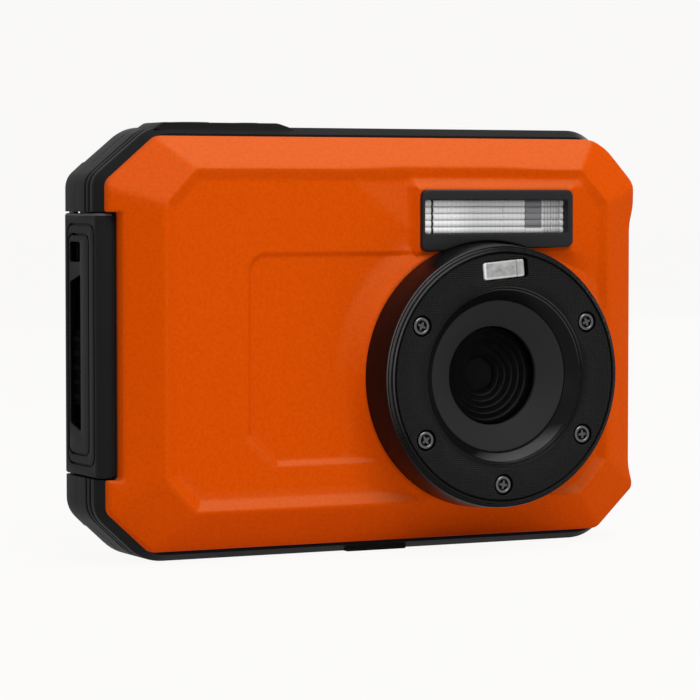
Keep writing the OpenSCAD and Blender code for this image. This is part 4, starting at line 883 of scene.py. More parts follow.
def paint_edge_highlights(material, bands):
    """Paints highlights on edges: paler bands of a radius and half width, strongest towards a direction."""
    tree = material.node_tree
    place = put(tree, "TexCoord").outputs["Object"]
    centre = (LENS_X * MM, 0.0, LENS_Z * MM)
    centred = put(tree, "VectorMath", {0: place, 1: centre}, operation="SUBTRACT").outputs[0]
    flat = put(tree, "VectorMath", {0: centred, 1: (1.0, 0.0, 1.0)}, operation="MULTIPLY").outputs[0]
    radius = put(tree, "VectorMath", {0: flat}, operation="LENGTH").outputs["Value"]
    layers = []
    for r, half, towards, reach, amount in bands:
        way = (math.cos(math.radians(towards)), 0.0, math.sin(math.radians(towards)))
        side = put(tree, "VectorMath", {0: flat, 1: way}, operation="DOT_PRODUCT").outputs["Value"]
        strength = spread(tree, side, reach * r * MM, 0.95 * r * MM, 0.0, amount)
        near = calc(tree, "COMPARE", radius, r * MM, half * MM)
        layers.append((calc(tree, "MULTIPLY", near, strength), PAINTED_HIGHLIGHT))
    paint(tree, layers)


# Painted highlights: paler bands on the ring's lip, inner ledge and cone
paint_edge_highlights(SLOT_MATERIALS["ring_black"], RING_BANDS)
hatch_ring(SLOT_MATERIALS["ring_black"])
# The bands counted here are painted highlights
print("hatch pitch", HATCH_PITCH, "mm and", len(RING_BANDS), "rubbed bands on the ring")

# %% [markdown]
# The ring screws are small pan heads: a domed rim round a socket, with a raised cross on the socket's
# floor. One head is repeated at each place and turned a little, as screws end up in assembly. Below the
# rim the ring screws' steel gets painted shade, so the socket reads as a hole. The four screws in the back
# are the same kind, a size larger.

# %% Screw heads
HEAD_R, HEAD_HEIGHT = 1.5, 0.85
SOCKET_R, SOCKET_DEPTH, CROSS_DEPTH, CROSS_DRAFT = 0.56, 0.45, 0.15, 0.03
# Radius and depth over a head's rim, as parts of the head's radius and height.
DOME = [(SOCKET_R, SOCKET_DEPTH), (0.6, 0.2), (0.66, 0.06), (0.75, 0.0), (0.84, 0.03), (0.92, 0.12),
        (0.98, 0.28), (1.0, 0.45), (1.0, 1.0)]
BACK_SCREWS = [(x, z) for x in (-40.5, 40.5) for z in (8.4, 61.2)]
# Depth below a head's top where its painted socket shade is full
DARK_DEPTH = 0.3


def cross_loop(u, v, arm, half, turn):
    """Outline of a cross about a place: four arms of a length and half width."""
    loop = []
    for k in range(4):
        c, s = math.cos(math.radians(turn + 90.0 * k)), math.sin(math.radians(turn + 90.0 * k))
        loop += [(u + x * c - y * s, v + x * s + y * c)
                 for x, y in ((arm, -half), (arm, half), (half * 1.5, half * 1.5))]
    return loop


def add_screw(heads, u, v, seat, r, height, turn):
    """One pan head: a domed rim, a socket and its raised cross."""
    top = seat + height
    socket, ridge = top - height * SOCKET_DEPTH, top - height * CROSS_DEPTH
    cross = cross_loop(u, v, r * 0.5, r * 0.12, turn)
    cross_top = inset_outline(cross, r * CROSS_DRAFT)
    heads.wall([(circle_loop(u, v, r * k, 32), top - height * d) for k, d in DOME])
    heads.fill(socket, circle_loop(u, v, r * SOCKET_R, 32), cross)
    heads.wall([(cross, socket), (cross_top, ridge)])
    heads.fill(ridge, cross_top)
    heads.fill(seat, circle_loop(u, v, r, 32))


def paint_socket_shade(material, top, depth):
    """Paints shade on a head below its top, so that the socket reads as a hole with a cross in it."""
    tree = material.node_tree
    ends = [(SEAM_Y - top + depth * part) * MM for part in (0.3, 1.0)]
    paint(tree, [(spread(tree, axes_of(tree, "Object")["Y"], *ends), (0.006, 0.006, 0.007))])


ring_heads, back_heads = Moulding(on_lens_axis), Moulding(back_of)
for (u, v), turn in zip(SCREW_PLACES, (20, 65, 35, 80, 5)):
    add_screw(ring_heads, u, v, SCREW_SEAT, HEAD_R, HEAD_HEIGHT, turn)
for (u, v), turn in zip(BACK_SCREWS, (10, 50, 30, 75)):
    add_screw(back_heads, u, v, 12.0, 1.9, 1.2, turn)
# Painted shade in the ring screws' sockets
paint_socket_shade(RING_STEEL, SCREW_SEAT + HEAD_HEIGHT, DARK_DEPTH)
ring_heads.piece("lens_ring_screw_heads", "lens_ring_screws", 35.0, RING_STEEL)
back_heads.piece("cover_screw_heads", "cover_screws", 35.0)
print("screw heads", len(SCREW_PLACES), "on the ring,", len(BACK_SCREWS), "in the back")

# %% [markdown]
# Inside the ring sit a dull dish and, behind the glass, a stepped baffle that keeps stray light off the
# lens. Both are turned. The steps get small radii and a painted highlight, because each catches a thin
# arc of light: a paler arc is painted on each step's edge.

# %% Dish and baffle
DISH_LINE = [(12.4, 10.5), (12.4, 11.65), (12.1, 11.65), (8.1, 9.6), (8.1, 8.95), (9.8, 8.95), (10.1, 10.5),
             (12.4, 10.5)]
BAFFLE_R, BAFFLE_HOLE, BAFFLE_TOP, BAFFLE_BACK = 8.0, 2.6, 7.88, 5.32
STEPS, STEP_R, STEP_W, STEP_H = 5, 7.4, 0.98, 0.52
dish = Moulding(on_lens_axis)
dish.wall(turned_rows(soft_line(DISH_LINE, 0.14)))
dish.piece("trim_dish_turned", "trim_dish")

baffle_line = [(BAFFLE_R, BAFFLE_BACK), (BAFFLE_R, BAFFLE_TOP), (STEP_R, BAFFLE_TOP)]
for k in range(STEPS):
    level = BAFFLE_TOP - STEP_H * (k + 1)
    baffle_line += [(STEP_R - STEP_W * k, level), (STEP_R - STEP_W * (k + 1), level)]
baffle_line = baffle_line[:-1] + [(BAFFLE_HOLE, BAFFLE_BACK), (BAFFLE_R, BAFFLE_BACK)]
baffle = Moulding(on_lens_axis)
baffle.wall(turned_rows(soft_line(baffle_line, 0.16)))
baffle.piece("lens_baffle_turned", "lens_baffle", 60.0)
# Painted highlight: a thin paler arc on the edge of each step
paint_edge_highlights(SLOT_MATERIALS["baffle_black"],
          [(STEP_R - 0.1 - STEP_W * k, 0.1, -35, 0.0, 0.15) for k in range(STEPS)])
print("baffle profile points", len(baffle_line))

# %% [markdown]
# The flash has a black bezel with a bite out of its lower rail, where the lens ring passes. Its window is a
# moulded lens plate with five long bands, a narrow column at the left and a few upright lines.

# %% Flash bezel
BEZEL_FRONT, BEZEL_BACK, BEZEL_EDGE, WINDOW_EDGE = 7.7, 6.4, 0.35, 0.15
BITE_R, RAIL_Z, RAIL_LEAN = 22.0, 51.5, 0.021


def bezel_outline():
    """Round-cornered bezel with the arc of the lens ring cut out of its lower edge, which leans a little."""
    loop = box_loop(BEZEL_X, BEZEL_Z, BEZEL_W, BEZEL_H, 1.1)
    low = BEZEL_Z - BEZEL_H / 2
    turn = math.atan2(low - LENS_Z, math.sqrt(BITE_R * BITE_R - (low - LENS_Z) ** 2))
    arc = [(LENS_X + BITE_R * math.cos(a), LENS_Z + BITE_R * math.sin(a))
           for a in np.linspace(math.pi - turn, turn, 25)]
    start = next(i for i, p in enumerate(loop) if p[1] < low + 1e-6)
    whole = loop[start:] + loop[:start] + arc
    return [(x, z + RAIL_LEAN * (x - BEZEL_X)) if z < RAIL_Z else (x, z) for x, z in whole]


BEZEL_LOOP = bezel_outline()
WINDOW_LOOP = box_loop(18.18, 54.86, 26.86, 5.6, 0.4)
bezel = Moulding(front_of)
bezel.wall(edge_rim(BEZEL_LOOP, BEZEL_FRONT, BEZEL_EDGE, BEZEL_BACK))
bezel.wall(hole_rim(WINDOW_LOOP, BEZEL_FRONT, WINDOW_EDGE, 5.7))
bezel.fill(BEZEL_FRONT, inset_outline(BEZEL_LOOP, BEZEL_EDGE), inset_outline(WINDOW_LOOP, -WINDOW_EDGE))
bezel.fill(BEZEL_BACK, BEZEL_LOOP, WINDOW_LOOP)
bezel.piece("flash_bezel_moulded", "flash_bezel")
print("bezel", len(BEZEL_LOOP), "points round")

# %% Flash window
WINDOW_X0, WINDOW_X1, WINDOW_Z0, WINDOW_Z1 = 4.8, 31.55, 52.1, 57.62
WINDOW_BACK, WINDOW_FRONT, BULGE = 5.6, 6.0, 0.2
COLUMN_X, SQUARE_X0, SQUARE_X1 = 6.6, 24.3, 27.4
BANDS = 5
BAND = (WINDOW_Z1 - WINDOW_Z0) / BANDS
GROOVES = (SQUARE_X0, SQUARE_X1, 10.2, 20.0, 29.2, 30.6)
GROOVE_DEPTH, GROOVE_WIDTH = 0.16, 0.09


def window_height(x, z):
    """Bands that bulge across Z, round lenses in the left column, and fine upright grooves."""
    across = ((z - WINDOW_Z0) / BAND) % 1.0 - 0.5
    bulge = BULGE * (1.0 - 4.0 * across * across)
    along = (x - (WINDOW_X0 + COLUMN_X) / 2) / (COLUMN_X - WINDOW_X0)
    dot = BULGE * np.clip(1.0 - 4.0 * across * across - 3.4 * along * along, 0.0, 1.0)
    height = np.where(x < COLUMN_X, dot, bulge)
    for groove in (COLUMN_X + 0.2, *GROOVES):
        height = height - GROOVE_DEPTH * np.exp(-((x - groove) / GROOVE_WIDTH) ** 2)
    return WINDOW_FRONT + height


def window_shape():
    """Points and faces of the ruled plate: its front as a grid, a wall round it and a flat back."""
    near_groove = [g + np.array([-0.2, -0.1, 0.0, 0.1, 0.2]) for g in GROOVES]
    column, bands = np.linspace(WINDOW_X0, COLUMN_X + 0.5, 20), np.linspace(COLUMN_X, WINDOW_X1, 90)
    xs = np.unique(np.concatenate([column, bands] + near_groove))
    gx, gz = np.meshgrid(xs, np.linspace(WINDOW_Z0, WINDOW_Z1, BANDS * 8 + 1))
    points = [front_of(*p) for p in zip(gx.ravel(), gz.ravel(), window_height(gx, gz).ravel())]
    index = np.arange(gx.size).reshape(gx.shape)
    tall, wide = gx.shape
    faces = [(index[j, i], index[j, i + 1], index[j + 1, i + 1], index[j + 1, i])
             for j in range(tall - 1) for i in range(wide - 1)]
    edge = [*index[0], *index[1:, -1], *index[-1, -2::-1], *index[-2:0:-1, 0]]
    start, count = len(points), len(edge)
    points += [(points[i][0], -WINDOW_BACK, points[i][2]) for i in edge]
    faces += [(edge[k], start + k, start + (k + 1) % count, edge[(k + 1) % count]) for k in range(count)]
    return points, faces + [tuple(range(start, start + count))]


flash_window = new_piece("flash_window_ruled", "flash_window", *window_shape(), 60.0)
print("flash window", len(flash_window.data.polygons), "faces")

# %% [markdown]
# Behind the bands lies the bright trough of the reflector, with a darker square at its right end. Seen
# through the lens plate they make light and dark zones, so the window's tone is drawn from its place along
# X and Z: pale bands with dark seams, a dark line beside the column, a grey square and finer grey lines at
# the end.

# %% Tones of the flash window


def meet(tree, first, *others):
    """Where masks meet."""
    for mask in others:
        first = calc(tree, "MULTIPLY", first, mask)
    return first


def zone(tree, value, low, high, soft):
    """One between two limits in millimetres and zero outside, with soft ends."""
    return meet(tree, spread(tree, value, (low - soft) * MM, low * MM),
                spread(tree, value, (high + soft) * MM, high * MM))


def saw_lines(tree, value, pitch, phase, width):
    """Thin lines that repeat along a value: one on a line and zero between."""
    part = calc(tree, "FRACT", calc(tree, "MULTIPLY_ADD", value, 1.0 / (pitch * MM), phase))
    return spread(tree, calc(tree, "PINGPONG", part, 0.5), width, 0.0)


def tone_window(material):
    """Lays the light and dark zones over the window's finish."""
    tree = material.node_tree
    place = axes_of(tree, "Object")
    x, z = place["X"], place["Z"]
    square = meet(tree, zone(tree, x, SQUARE_X0, SQUARE_X1, 0.1), zone(tree, z, 53.0, 57.6, 0.1))
    end = zone(tree, x, SQUARE_X1 + 0.3, 30.9, 0.1)
    paint(tree, [
        (zone(tree, x, 3.0, 10.5, 4.0), (1.0, 1.0, 1.0), 0.8),
        (saw_lines(tree, z, BAND, -WINDOW_Z0 / BAND + 5.0, 0.17), (0.16, 0.16, 0.17), 0.75),
        (saw_lines(tree, x, 0.82, 0.3, 0.1), (0.2, 0.2, 0.2), 0.25),
        (square, (0.13, 0.13, 0.14), 0.92),
        (end, (0.25, 0.25, 0.26), 0.45),
        (meet(tree, end, saw_lines(tree, x, 0.55, 0.1, 0.22)), (0.1, 0.1, 0.11), 0.6),
        (zone(tree, x, COLUMN_X + 0.02, COLUMN_X + 0.38, 0.06), (0.01, 0.01, 0.011))])


tone_window(SLOT_MATERIALS["flash_clear"])
print("window bands", BANDS, "of", round(BAND, 2), "mm")

# %% [markdown]
# The lamp at the top of the ring is a small frosted block. Its edge is rounded, white, and lies just under
# the ring's flat. Its mottled tone comes from the slow cloud of the finish at a much finer scale, and one
# dark upright line stands near its right end.

# %% Lamp window
LAMP_FRONT, LAMP_BACK, LAMP_EDGE = 13.98, 12.8, 0.3
LAMP_LOOP = turned_loop(box_loop(LAMP_U, LAMP_V, 7.6, 2.85, 0.4), LAMP_TILT)
lamp_block = Moulding(on_lens_axis)
lamp_block.wall(edge_rim(LAMP_LOOP, LAMP_FRONT, LAMP_EDGE, LAMP_BACK))
lamp_block.fill(LAMP_FRONT, inset_outline(LAMP_LOOP, LAMP_EDGE))
lamp_block.fill(LAMP_BACK, LAMP_LOOP)
lamp_block.piece("lamp_window_frosted", "lamp_window")


def tone_lamp(material):
    """Whitens the edge of the lamp and darkens one upright line near its right end."""
    tree = material.node_tree
    turn = put(tree, "Mapping", {"Vector": put(tree, "TexCoord").outputs["Object"],
                                 "Location": ((LENS_X + LAMP_U) * MM, 0.0, (LENS_Z + LAMP_V) * MM),
                                 "Rotation": (0.0, math.radians(-LAMP_TILT), 0.0)}, vector_type="TEXTURE")
    place = put(tree, "SeparateXYZ", {0: turn.outputs["Vector"]}).outputs
    middle = meet(tree, zone(tree, place["X"], -3.2, 4.2, 0.3), zone(tree, place["Z"], -0.95, 1.1, 0.4))
    paint(tree, [(calc(tree, "SUBTRACT", 1.0, middle), (0.85, 0.85, 0.84), 0.85),
                 (zone(tree, place["X"], 2.25, 2.4, 0.1), (0.08, 0.08, 0.08), 0.6)])


tone_lamp(SLOT_MATERIALS["lamp_frost"])
print("lamp", len(LAMP_LOOP), "points round")

# %% [markdown]
# Small controls keep the solid's shape and only need their edges rounded. A copy of the node with its flat
# faces joined takes a bevel well, because none of these has a hole in a flat face.

# %% Buttons, keys, latch and lock
BEVEL_SEGMENTS, BEVEL_ANGLE = 3, 30.0


def moulded_copy(node, width, material=None):
    """A copy of a node with its flat faces joined and its edges rounded by a width in millimetres."""
    work = bmesh.new()
    work.from_mesh(nodes[node].data)
    bmesh.ops.remove_doubles(work, verts=work.verts, dist=1e-7)
    bmesh.ops.dissolve_limit(work, angle_limit=math.radians(0.3), verts=work.verts, edges=work.edges)
    mesh = bpy.data.meshes.new(node + "_moulded")
    work.to_mesh(mesh)
    work.free()
    item = link(node + "_moulded", smooth(mesh, BEVEL_ANGLE))
    bevel = item.modifiers.new("mould_radius", "BEVEL")
    bevel.width = width * MM
    bevel.segments = BEVEL_SEGMENTS
    bevel.limit_method = "ANGLE"
    bevel.angle_limit = math.radians(BEVEL_ANGLE)
    bevel.use_clamp_overlap = False
    bevel.harden_normals = True
    return stand_for(item, node, material)


# Near black: painted shade of the door's recesses over the latch's and lock's own dark colour
for node, width in (("door_latch", 0.12), ("door_lock", 0.1)):
    moulded_copy(node, width, LATCH_BLACK_SHADED)
for node, width in (("shutter_button", 0.22), ("power_button", 0.22), ("zoom_rocker", 0.25)):
    moulded_copy(node, width)
for key in ("up", "down", "left", "right", "ok", "menu", "play"):
    moulded_copy("key_" + key, 0.2)

# %% [markdown]
# The bumper frame is a band that runs round the body: a chamfer at the front, two fine grooves and a plain
# rear part. So one section is carried along the outline, row by row. The outline's corners are generous
# curves, as a soft bumper would have.

# %% Outline of the bumper frame
HALF, TALL = 49.4, 69.35
FRAME_D, WALL_IN = 9.4, 3.4
EAR_X = -46.35
PAD_X0, PAD_X1, PAD_SLOPE, PAD_Y0, PAD_TOP = -37.6, -17.4, 2.0, 1.2, 70.0
FOOT_X, FOOT_Y0, FOOT_Y1, FOOT_TOP, FOOT_EDGE = 5.4, 0.4, 9.0, 1.2, 0.1
BUTTONS_X0, BUTTONS_X1, BUTTONS_Y1 = -35.6, -18.6, 9.3
STRAP_Z0, STRAP_Z1, STRAP_Y0, STRAP_Y1, STRAP_X = 28.8, 40.8, 1.7, 6.0, 43.4
FRAME_PATH = stepped(
    soft_corners([(-40.9, 0.0), (40.9, 0.0), (HALF, 7.8), (HALF, 9.4), (48.2, 12.4), (48.2, 53.4),
                  (HALF, 56.4), (HALF, 61.2), (39.5, TALL), (-39.5, TALL), (-HALF, 61.2), (-HALF, 7.8)],
                 [3.2, 3.2, 0.7, 0.7, 1.0, 1.0, 1.0, 2.0, 2.6, 2.6, 1.7, 2.2], 8),
    40.0, [(1, DOOR_LO), (1, DOOR_HI), (1, STRAP_Z0), (1, STRAP_Z1), (0, -FOOT_X), (0, FOOT_X),
           (0, BUTTONS_X0), (0, BUTTONS_X1), (0, EAR_X)])
print("frame path", len(FRAME_PATH), "points")

# %% [markdown]
# Each row of the frame is the outline moved inwards by the section's depth at that place. A quad is drawn
# between two rows unless it falls in one of the openings: the door, the strap pocket and the button pad. The
# ends at the door are closed with a flat cap.

# %% Bumper frame
CHAMFER, CHAMFER_END = 0.95, 2.0
# Distance behind the seam and depth inwards along the section, and where the strap pocket crosses it.
SECTION_LINE = [(0.0, CHAMFER), (CHAMFER_END, 0.0), (3.3, 0.0), (3.38, 0.62), (3.82, 0.62), (3.9, 0.0),
                (4.9, 0.0), (4.98, 0.62), (5.42, 0.62), (5.5, 0.0), (BUTTONS_Y1, 0.0), (9.38, 0.12)]
STRAP_ROWS = [(STRAP_Y0, CHAMFER * (1.0 - STRAP_Y0 / CHAMFER_END)), (STRAP_Y1, 0.0)]
SECTION = sorted(soft_line(SECTION_LINE, 0.16) + STRAP_ROWS)
FRAME_ROWS = [(0.0, WALL_IN), (0.0, 1.15), *SECTION[1:], (FRAME_D, 0.3), (FRAME_D, WALL_IN), (0.0, WALL_IN)]
OUTSIDE = 1.2


def between(p, q, axis, low, high):
    """True for a step of the path that lies between two limits along an axis."""
    return low - 0.01 < min(p[axis], q[axis]) and max(p[axis], q[axis]) < high + 0.01


def in_opening(j, i):
    """True for a quad between two rows and two points of the path that lies in one of the openings."""
    p, q = FRAME_PATH[i], FRAME_PATH[(i + 1) % len(FRAME_PATH)]
    (y0, d0), (y1, d1) = FRAME_ROWS[j], FRAME_ROWS[j + 1]
    outside, middle = max(d0, d1) < OUTSIDE, (y0 + y1) / 2
    if max(p[0], q[0]) < -HALF + 0.01 and between(p, q, 1, DOOR_LO, DOOR_HI):
        return True
    if min(p[0], q[0]) > 45.0 and between(p, q, 1, STRAP_Z0, STRAP_Z1):
        return outside and STRAP_Y0 < middle < STRAP_Y1
    if min(p[1], q[1]) > TALL - 0.01 and between(p, q, 0, BUTTONS_X0, BUTTONS_X1):
        return j == len(FRAME_ROWS) - 2 or (outside and STRAP_Y0 < middle < BUTTONS_Y1)
    return False


bumper = Moulding(back_of)
bumper.wall([(inset_outline(FRAME_PATH, d), y) for y, d in FRAME_ROWS], is_open=in_opening)
count = len(FRAME_PATH)
for level in (DOOR_LO, DOOR_HI):
    i = min(range(count), key=lambda k: math.dist(FRAME_PATH[k], (-HALF, level)))
    bumper.faces.append(tuple(j * count + i for j in range(len(FRAME_ROWS) - 1)))
strap_pocket = [(STRAP_Y0, STRAP_Z0), (STRAP_Y1, STRAP_Z0), (STRAP_Y1, STRAP_Z1), (STRAP_Y0, STRAP_Z1)]
bumper.place = side_of
bumper.wall([(strap_pocket, -48.0), (strap_pocket, -STRAP_X)])
bumper.cap(strap_pocket, -STRAP_X)
print("frame band", len(bumper.faces), "faces")

# %% [markdown]
# Beside the door the frame reaches back to the hinge pin: two ears, one above and one below. Their rows use
# the same path, so the curve of the corner runs on without a step, and the rear edge is rounded off.

# %% Hinge ears of the frame
EAR_LINE = [(9.25, 0.0), (13.4, 0.0), (14.0, 0.1), (14.5, 0.35), (14.85, 0.7), (15.1, 1.15), (15.2, 1.6)]


def ear_rows(first_z, side):
    """Rows of an ear from the band to the back: its outer curve and one inner corner."""
    span = [k for k, (x, z) in enumerate(FRAME_PATH) if x < EAR_X + 1e-3 and side * (z - first_z) > -1e-3]
    rows = []
    for y, d in EAR_LINE:
        moved = inset_outline(FRAME_PATH, d)
        rows.append(([(min(moved[k][0], EAR_X), moved[k][1]) for k in span] + [(EAR_X, first_z)], y))
    return rows


bumper.place = back_of
for first_z, side in ((DOOR_HI, 1), (DOOR_LO, -1)):
    rows = ear_rows(first_z, side)
    bumper.wall(rows)
    bumper.cap(*rows[-1])
    bumper.cap(*rows[0])
print("with ears", len(bumper.faces), "faces")

# %% [markdown]
# The button pad rises a little from the frame's top, with sloped ends, and has the two button holes. The
# tripod foot is a flat in the base round the six-sided bush, so that a tripod plate has something to sit on.

# %% Button pad and tripod foot
BUTTON_Y, STEM_R, BUTTON_FLOOR, STEM_END = 5.3, 1.5, 68.4, 67.4
PAD_INSET, BUTTON_RIM = 0.22, 0.12


def pad_loop(level, inset=0.0):
    """Outline of the pad at a height: its ends slope, its front and back are upright."""
    out = (PAD_TOP - level) * PAD_SLOPE / (PAD_TOP - TALL + 0.6)
    x0, x1, y1 = PAD_X0 - out, PAD_X1 + 2 * out, FRAME_D - 0.05
    return inset_outline(soft_corners([(x0, PAD_Y0), (x1, PAD_Y0), (x1, y1), (x0, y1)], 0.5, 3), inset)


bumper.place = top_of
bumper.wall([(pad_loop(PAD_TOP, PAD_INSET), PAD_TOP), (pad_loop(PAD_TOP - 0.02, 0.1), PAD_TOP - 0.03),
             (pad_loop(PAD_TOP - 0.12), PAD_TOP - 0.12), (pad_loop(69.4), 69.4), (pad_loop(69.0), 68.9)])
button_holes = []
for x, r in ((-31.4, 3.55), (-21.4, 2.35)):
    hole, stem = circle_loop(x, BUTTON_Y, r, 48), circle_loop(x, BUTTON_Y, STEM_R, 32)
    button_holes.append(bumper.pocket(hole, PAD_TOP, BUTTON_RIM, BUTTON_FLOOR, stem))
    bumper.wall([(stem, BUTTON_FLOOR), (stem, STEM_END)])
bumper.fill(PAD_TOP, pad_loop(PAD_TOP, PAD_INSET), *button_holes)
foot_loop = [(-FOOT_X, FOOT_Y0), (FOOT_X, FOOT_Y0), (FOOT_X, FOOT_Y1), (-FOOT_X, FOOT_Y1)]
foot_flat = inset_outline(foot_loop, FOOT_EDGE)
bush_hole = circle_loop(0.0, 4.7, 4.2, 6)
bumper.wall([(foot_flat, 0.0), (foot_loop, FOOT_EDGE), (foot_loop, FOOT_TOP)])
bumper.fill(0.0, foot_flat, bush_hole)
bumper.wall([(bush_hole, 0.0), (bush_hole, FOOT_TOP)])
mid_frame = bumper.piece("mid_frame_band", "mid_frame", 38.0)
print("bumper frame", len(mid_frame.data.polygons), "faces")

# %% [markdown]
# The rear cover goes on from the frame with the same outline, cut straight where the hinge ears stand. Its
# outer edge is a rounded chamfer with a rim round a shallow recess, and the back has openings for the
# display, seven keys, the zoom rocker and four screws.

# %% Rear cover
REAR, BACK_FACE, BACK_INNER, DISPLAY_FLOOR = 15.2, 14.6, 13.2, 13.6
REAR_X, INNER_X, FACE_X, FACE_IN = -46.3, -42.0, -44.95, 3.35
KEY_X, KEY_Z, KEY_STEP, KEY_R, BACK_SCREW_R, BACK_RIM = -33.4, 34.8, 6.2, 2.45, 2.05, 0.15
KEY_PLACES = [(KEY_X, KEY_Z + KEY_STEP), (KEY_X, KEY_Z - KEY_STEP), (KEY_X + KEY_STEP, KEY_Z),
              (KEY_X - KEY_STEP, KEY_Z), (KEY_X, KEY_Z), (-38.8, 16.6), (-28.0, 16.6)]
# Depth inwards, place of the straight cut and distance behind the seam, from the inside round to the back
# face.
REAR_LINE = [(WALL_IN, INNER_X, BACK_INNER), (WALL_IN, INNER_X, 9.42), (0.12, REAR_X, 9.42),
             (0.0, REAR_X, 9.52), (0.0, REAR_X, 13.0), (0.12, REAR_X, 13.7), (0.42, REAR_X, 14.3),
             (0.85, REAR_X, 14.8), (1.3, REAR_X, 15.1), (1.7, REAR_X, REAR), (3.05, -45.25, REAR),
             (3.16, -45.14, 15.15), (3.2, -45.1, 15.0), (3.25, -45.05, 14.68), (FACE_IN, FACE_X, BACK_FACE)]


def rear_loop(d, limit):
    """The frame's outline moved inwards and cut straight at the hinge side."""
    return [(max(x, limit), z) for x, z in inset_outline(FRAME_PATH, d)]


rear = Moulding(back_of)
rear.wall([(rear_loop(d, limit), y) for d, limit, y in REAR_LINE])
# Points that the cut lays on one straight line are left out of the inner fill.
rear.fill(BACK_INNER, [p for p, outer in zip(rear_loop(WALL_IN, INNER_X), FRAME_PATH)
                       if p[0] > INNER_X or outer[0] > -47.0])
screw_holes = [circle_loop(x, z, BACK_SCREW_R, 36) for x, z in BACK_SCREWS]
back_holes = [(circle_loop(x, z, KEY_R, 36), BACK_INNER) for x, z in KEY_PLACES]
back_holes += [(hole, BACK_INNER) for hole in screw_holes]
back_holes += [(box_loop(14.8, 34.8, 56.1, 42.1, 2.0), DISPLAY_FLOOR),
               (box_loop(-29.6, 59.0, 12.2, 5.2, 0.6), BACK_INNER)]
for hole, floor in back_holes:
    rear.wall(hole_rim(hole, BACK_FACE, BACK_RIM, floor))
for hole in screw_holes:
    rear.fill(BACK_INNER, hole)
rear.fill(BACK_FACE, rear_loop(FACE_IN, FACE_X), *[inset_outline(hole, -BACK_RIM) for hole, _ in back_holes])
rear_cover = rear.piece("rear_cover_moulded", "rear_cover", 38.0)
print("rear cover", len(rear_cover.data.polygons), "faces")

# %% [markdown]
# The door's section is a round nose at the front, a flat face and the hinge barrel at the rear. The section
# is carried up the door with rounded ends, and the flat face is a fill with its grooves, latch recess and
# lock pocket, so that each gets a crisp edge with a small radius. The latch and lock recesses get painted
# shade, nearly black, and the top edge gets a painted highlight, a paler band.

# %% Side door
DOOR_X, DOOR_IN, DOOR_EDGE, DOOR_RIM = 49.4, 47.0, 0.4, 0.12
NOSE_X, NOSE_Y, NOSE_R = -47.4, 1.5, 2.0
HINGE_X, HINGE_Y, HINGE_R = -48.0, 13.6, 1.4
DOOR_Z0, DOOR_Z1 = DOOR_LO + 0.25, DOOR_HI - 0.25
DOOR_Z = (DOOR_Z0 + DOOR_Z1) / 2
GROOVE_FLOOR, LATCH_FLOOR, LOCK_FLOOR, SIGHT_FLOOR = DOOR_X - 0.4, DOOR_X - 1.3, DOOR_X - 1.0, DOOR_X - 0.5
LATCH_Y, LATCH_Z, SLANT = (7.5, 11.9), (20.8, 45.8), 1.2


def arc(x, y, r, turns):
    """Points of an arc at whole degrees."""
    return [(x + r * math.cos(math.radians(a)), y + r * math.sin(math.radians(a))) for a in turns]


def door_section():
    """Section of the door in X and Y, counter-clockwise, starting and ending at the flat face."""
    barrel = arc(HINGE_X, HINGE_Y, HINGE_R, range(180, -41, -20))
    nose = arc(NOSE_X, NOSE_Y, NOSE_R, range(270, 179, -10))
    loop = barrel + [(-DOOR_IN, 12.4), (-DOOR_IN, -0.3), (-47.2, -0.5)] + nose
    return loop[::-1]


section = door_section()
face_z0, face_z1 = DOOR_Z0 + DOOR_EDGE, DOOR_Z1 - DOOR_EDGE
door = Moulding(top_of)
top_rows = edge_rim(section, DOOR_Z1, DOOR_EDGE, face_z1)[:-1]
door.wall(top_rows)
door.wall([(loop, DOOR_Z0 + DOOR_Z1 - level) for loop, level in top_rows])
door.wall([(section, face_z0), (section, face_z1)], closed=False)
door.fill(DOOR_Z1, top_rows[0][0])
door.fill(DOOR_Z0, top_rows[0][0])

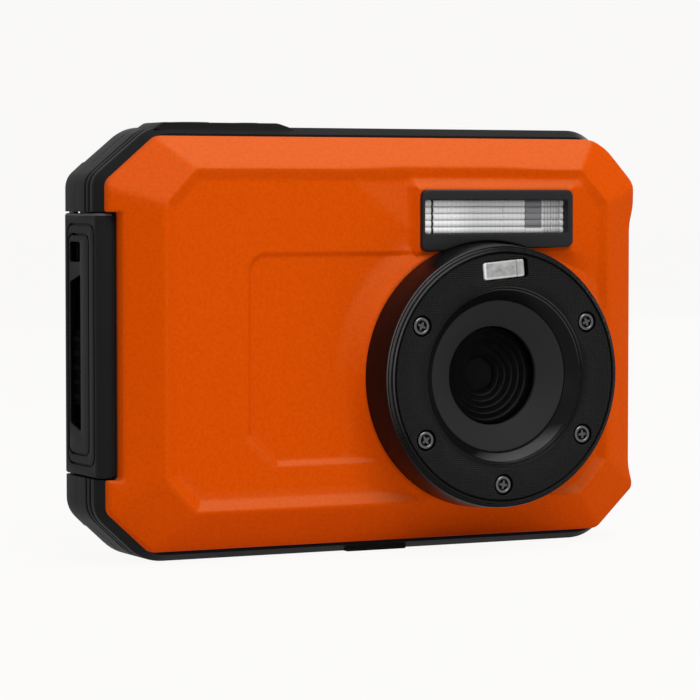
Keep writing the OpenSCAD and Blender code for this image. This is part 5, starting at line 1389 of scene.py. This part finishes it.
door.place = side_of
face_loop = [(NOSE_Y, face_z0), (HINGE_Y, face_z0), (HINGE_Y, face_z1), (NOSE_Y, face_z1)]
latch_loop = soft_corners([(LATCH_Y[0], LATCH_Z[0]), (LATCH_Y[1], LATCH_Z[0] + SLANT),
                           (LATCH_Y[1], LATCH_Z[1] - SLANT), (LATCH_Y[0], LATCH_Z[1])], 0.5)
recesses = [(latch_loop, LATCH_FLOOR), (box_loop(9.75, 49.4, 4.3, 3.2, 0.4), LOCK_FLOOR),
            (circle_loop(10.9, 52.3, 0.28, 16), SIGHT_FLOOR)]
outer_groove = [box_loop(7.3, DOOR_Z, 11.4, 38.6, 1.8), box_loop(7.3, DOOR_Z, 10.7, 37.9, 1.5)]
inner_groove = [box_loop(8.2, DOOR_Z, 8.9, 35.4, 1.6), box_loop(8.2, DOOR_Z, 8.2, 34.7, 1.3)]
for outer, inside in (outer_groove, inner_groove):
    door.pocket(outer, DOOR_X, DOOR_RIM, GROOVE_FLOOR, inside)
    door.wall(edge_rim(inside, DOOR_X, DOOR_RIM, GROOVE_FLOOR))
door_holes = [door.pocket(loop, DOOR_X, DOOR_RIM, floor) for loop, floor in recesses]
door.fill(DOOR_X, face_loop, inset_outline(outer_groove[0], -DOOR_RIM))
door.fill(DOOR_X, inset_outline(outer_groove[1], DOOR_RIM), inset_outline(inner_groove[0], -DOOR_RIM))
door.fill(DOOR_X, inset_outline(inner_groove[1], DOOR_RIM), *door_holes)
side_door = door.piece("side_door_moulded", "side_door", 38.0, DOOR_BLACK)


def tone_door(material):
    """Painted shade, nearly black, inside the latch and lock recesses, and a painted highlight on the top
    edge.
    """
    tree = material.node_tree
    place = axes_of(tree, "Object")
    recess = meet(tree, zone(tree, place["X"], 0.18 - DOOR_X, 1.6 - DOOR_X, 0.1),
                  zone(tree, place["Y"], SEAM_Y + 7.2, SEAM_Y + 12.2, 0.1),
                  zone(tree, place["Z"], 20.4, 51.5, 0.1))
    edge = zone(tree, place["Z"], DOOR_Z1 - 0.32, DOOR_Z1 + 0.2, 0.06)
    # Painted shade in the latch and lock recesses, and a painted highlight along the top edge
    paint(tree, [(recess, (0.0005, 0.0005, 0.0005)), (edge, (0.09, 0.09, 0.092))])


tone_door(DOOR_BLACK)
print("side door", len(side_door.data.polygons), "faces")
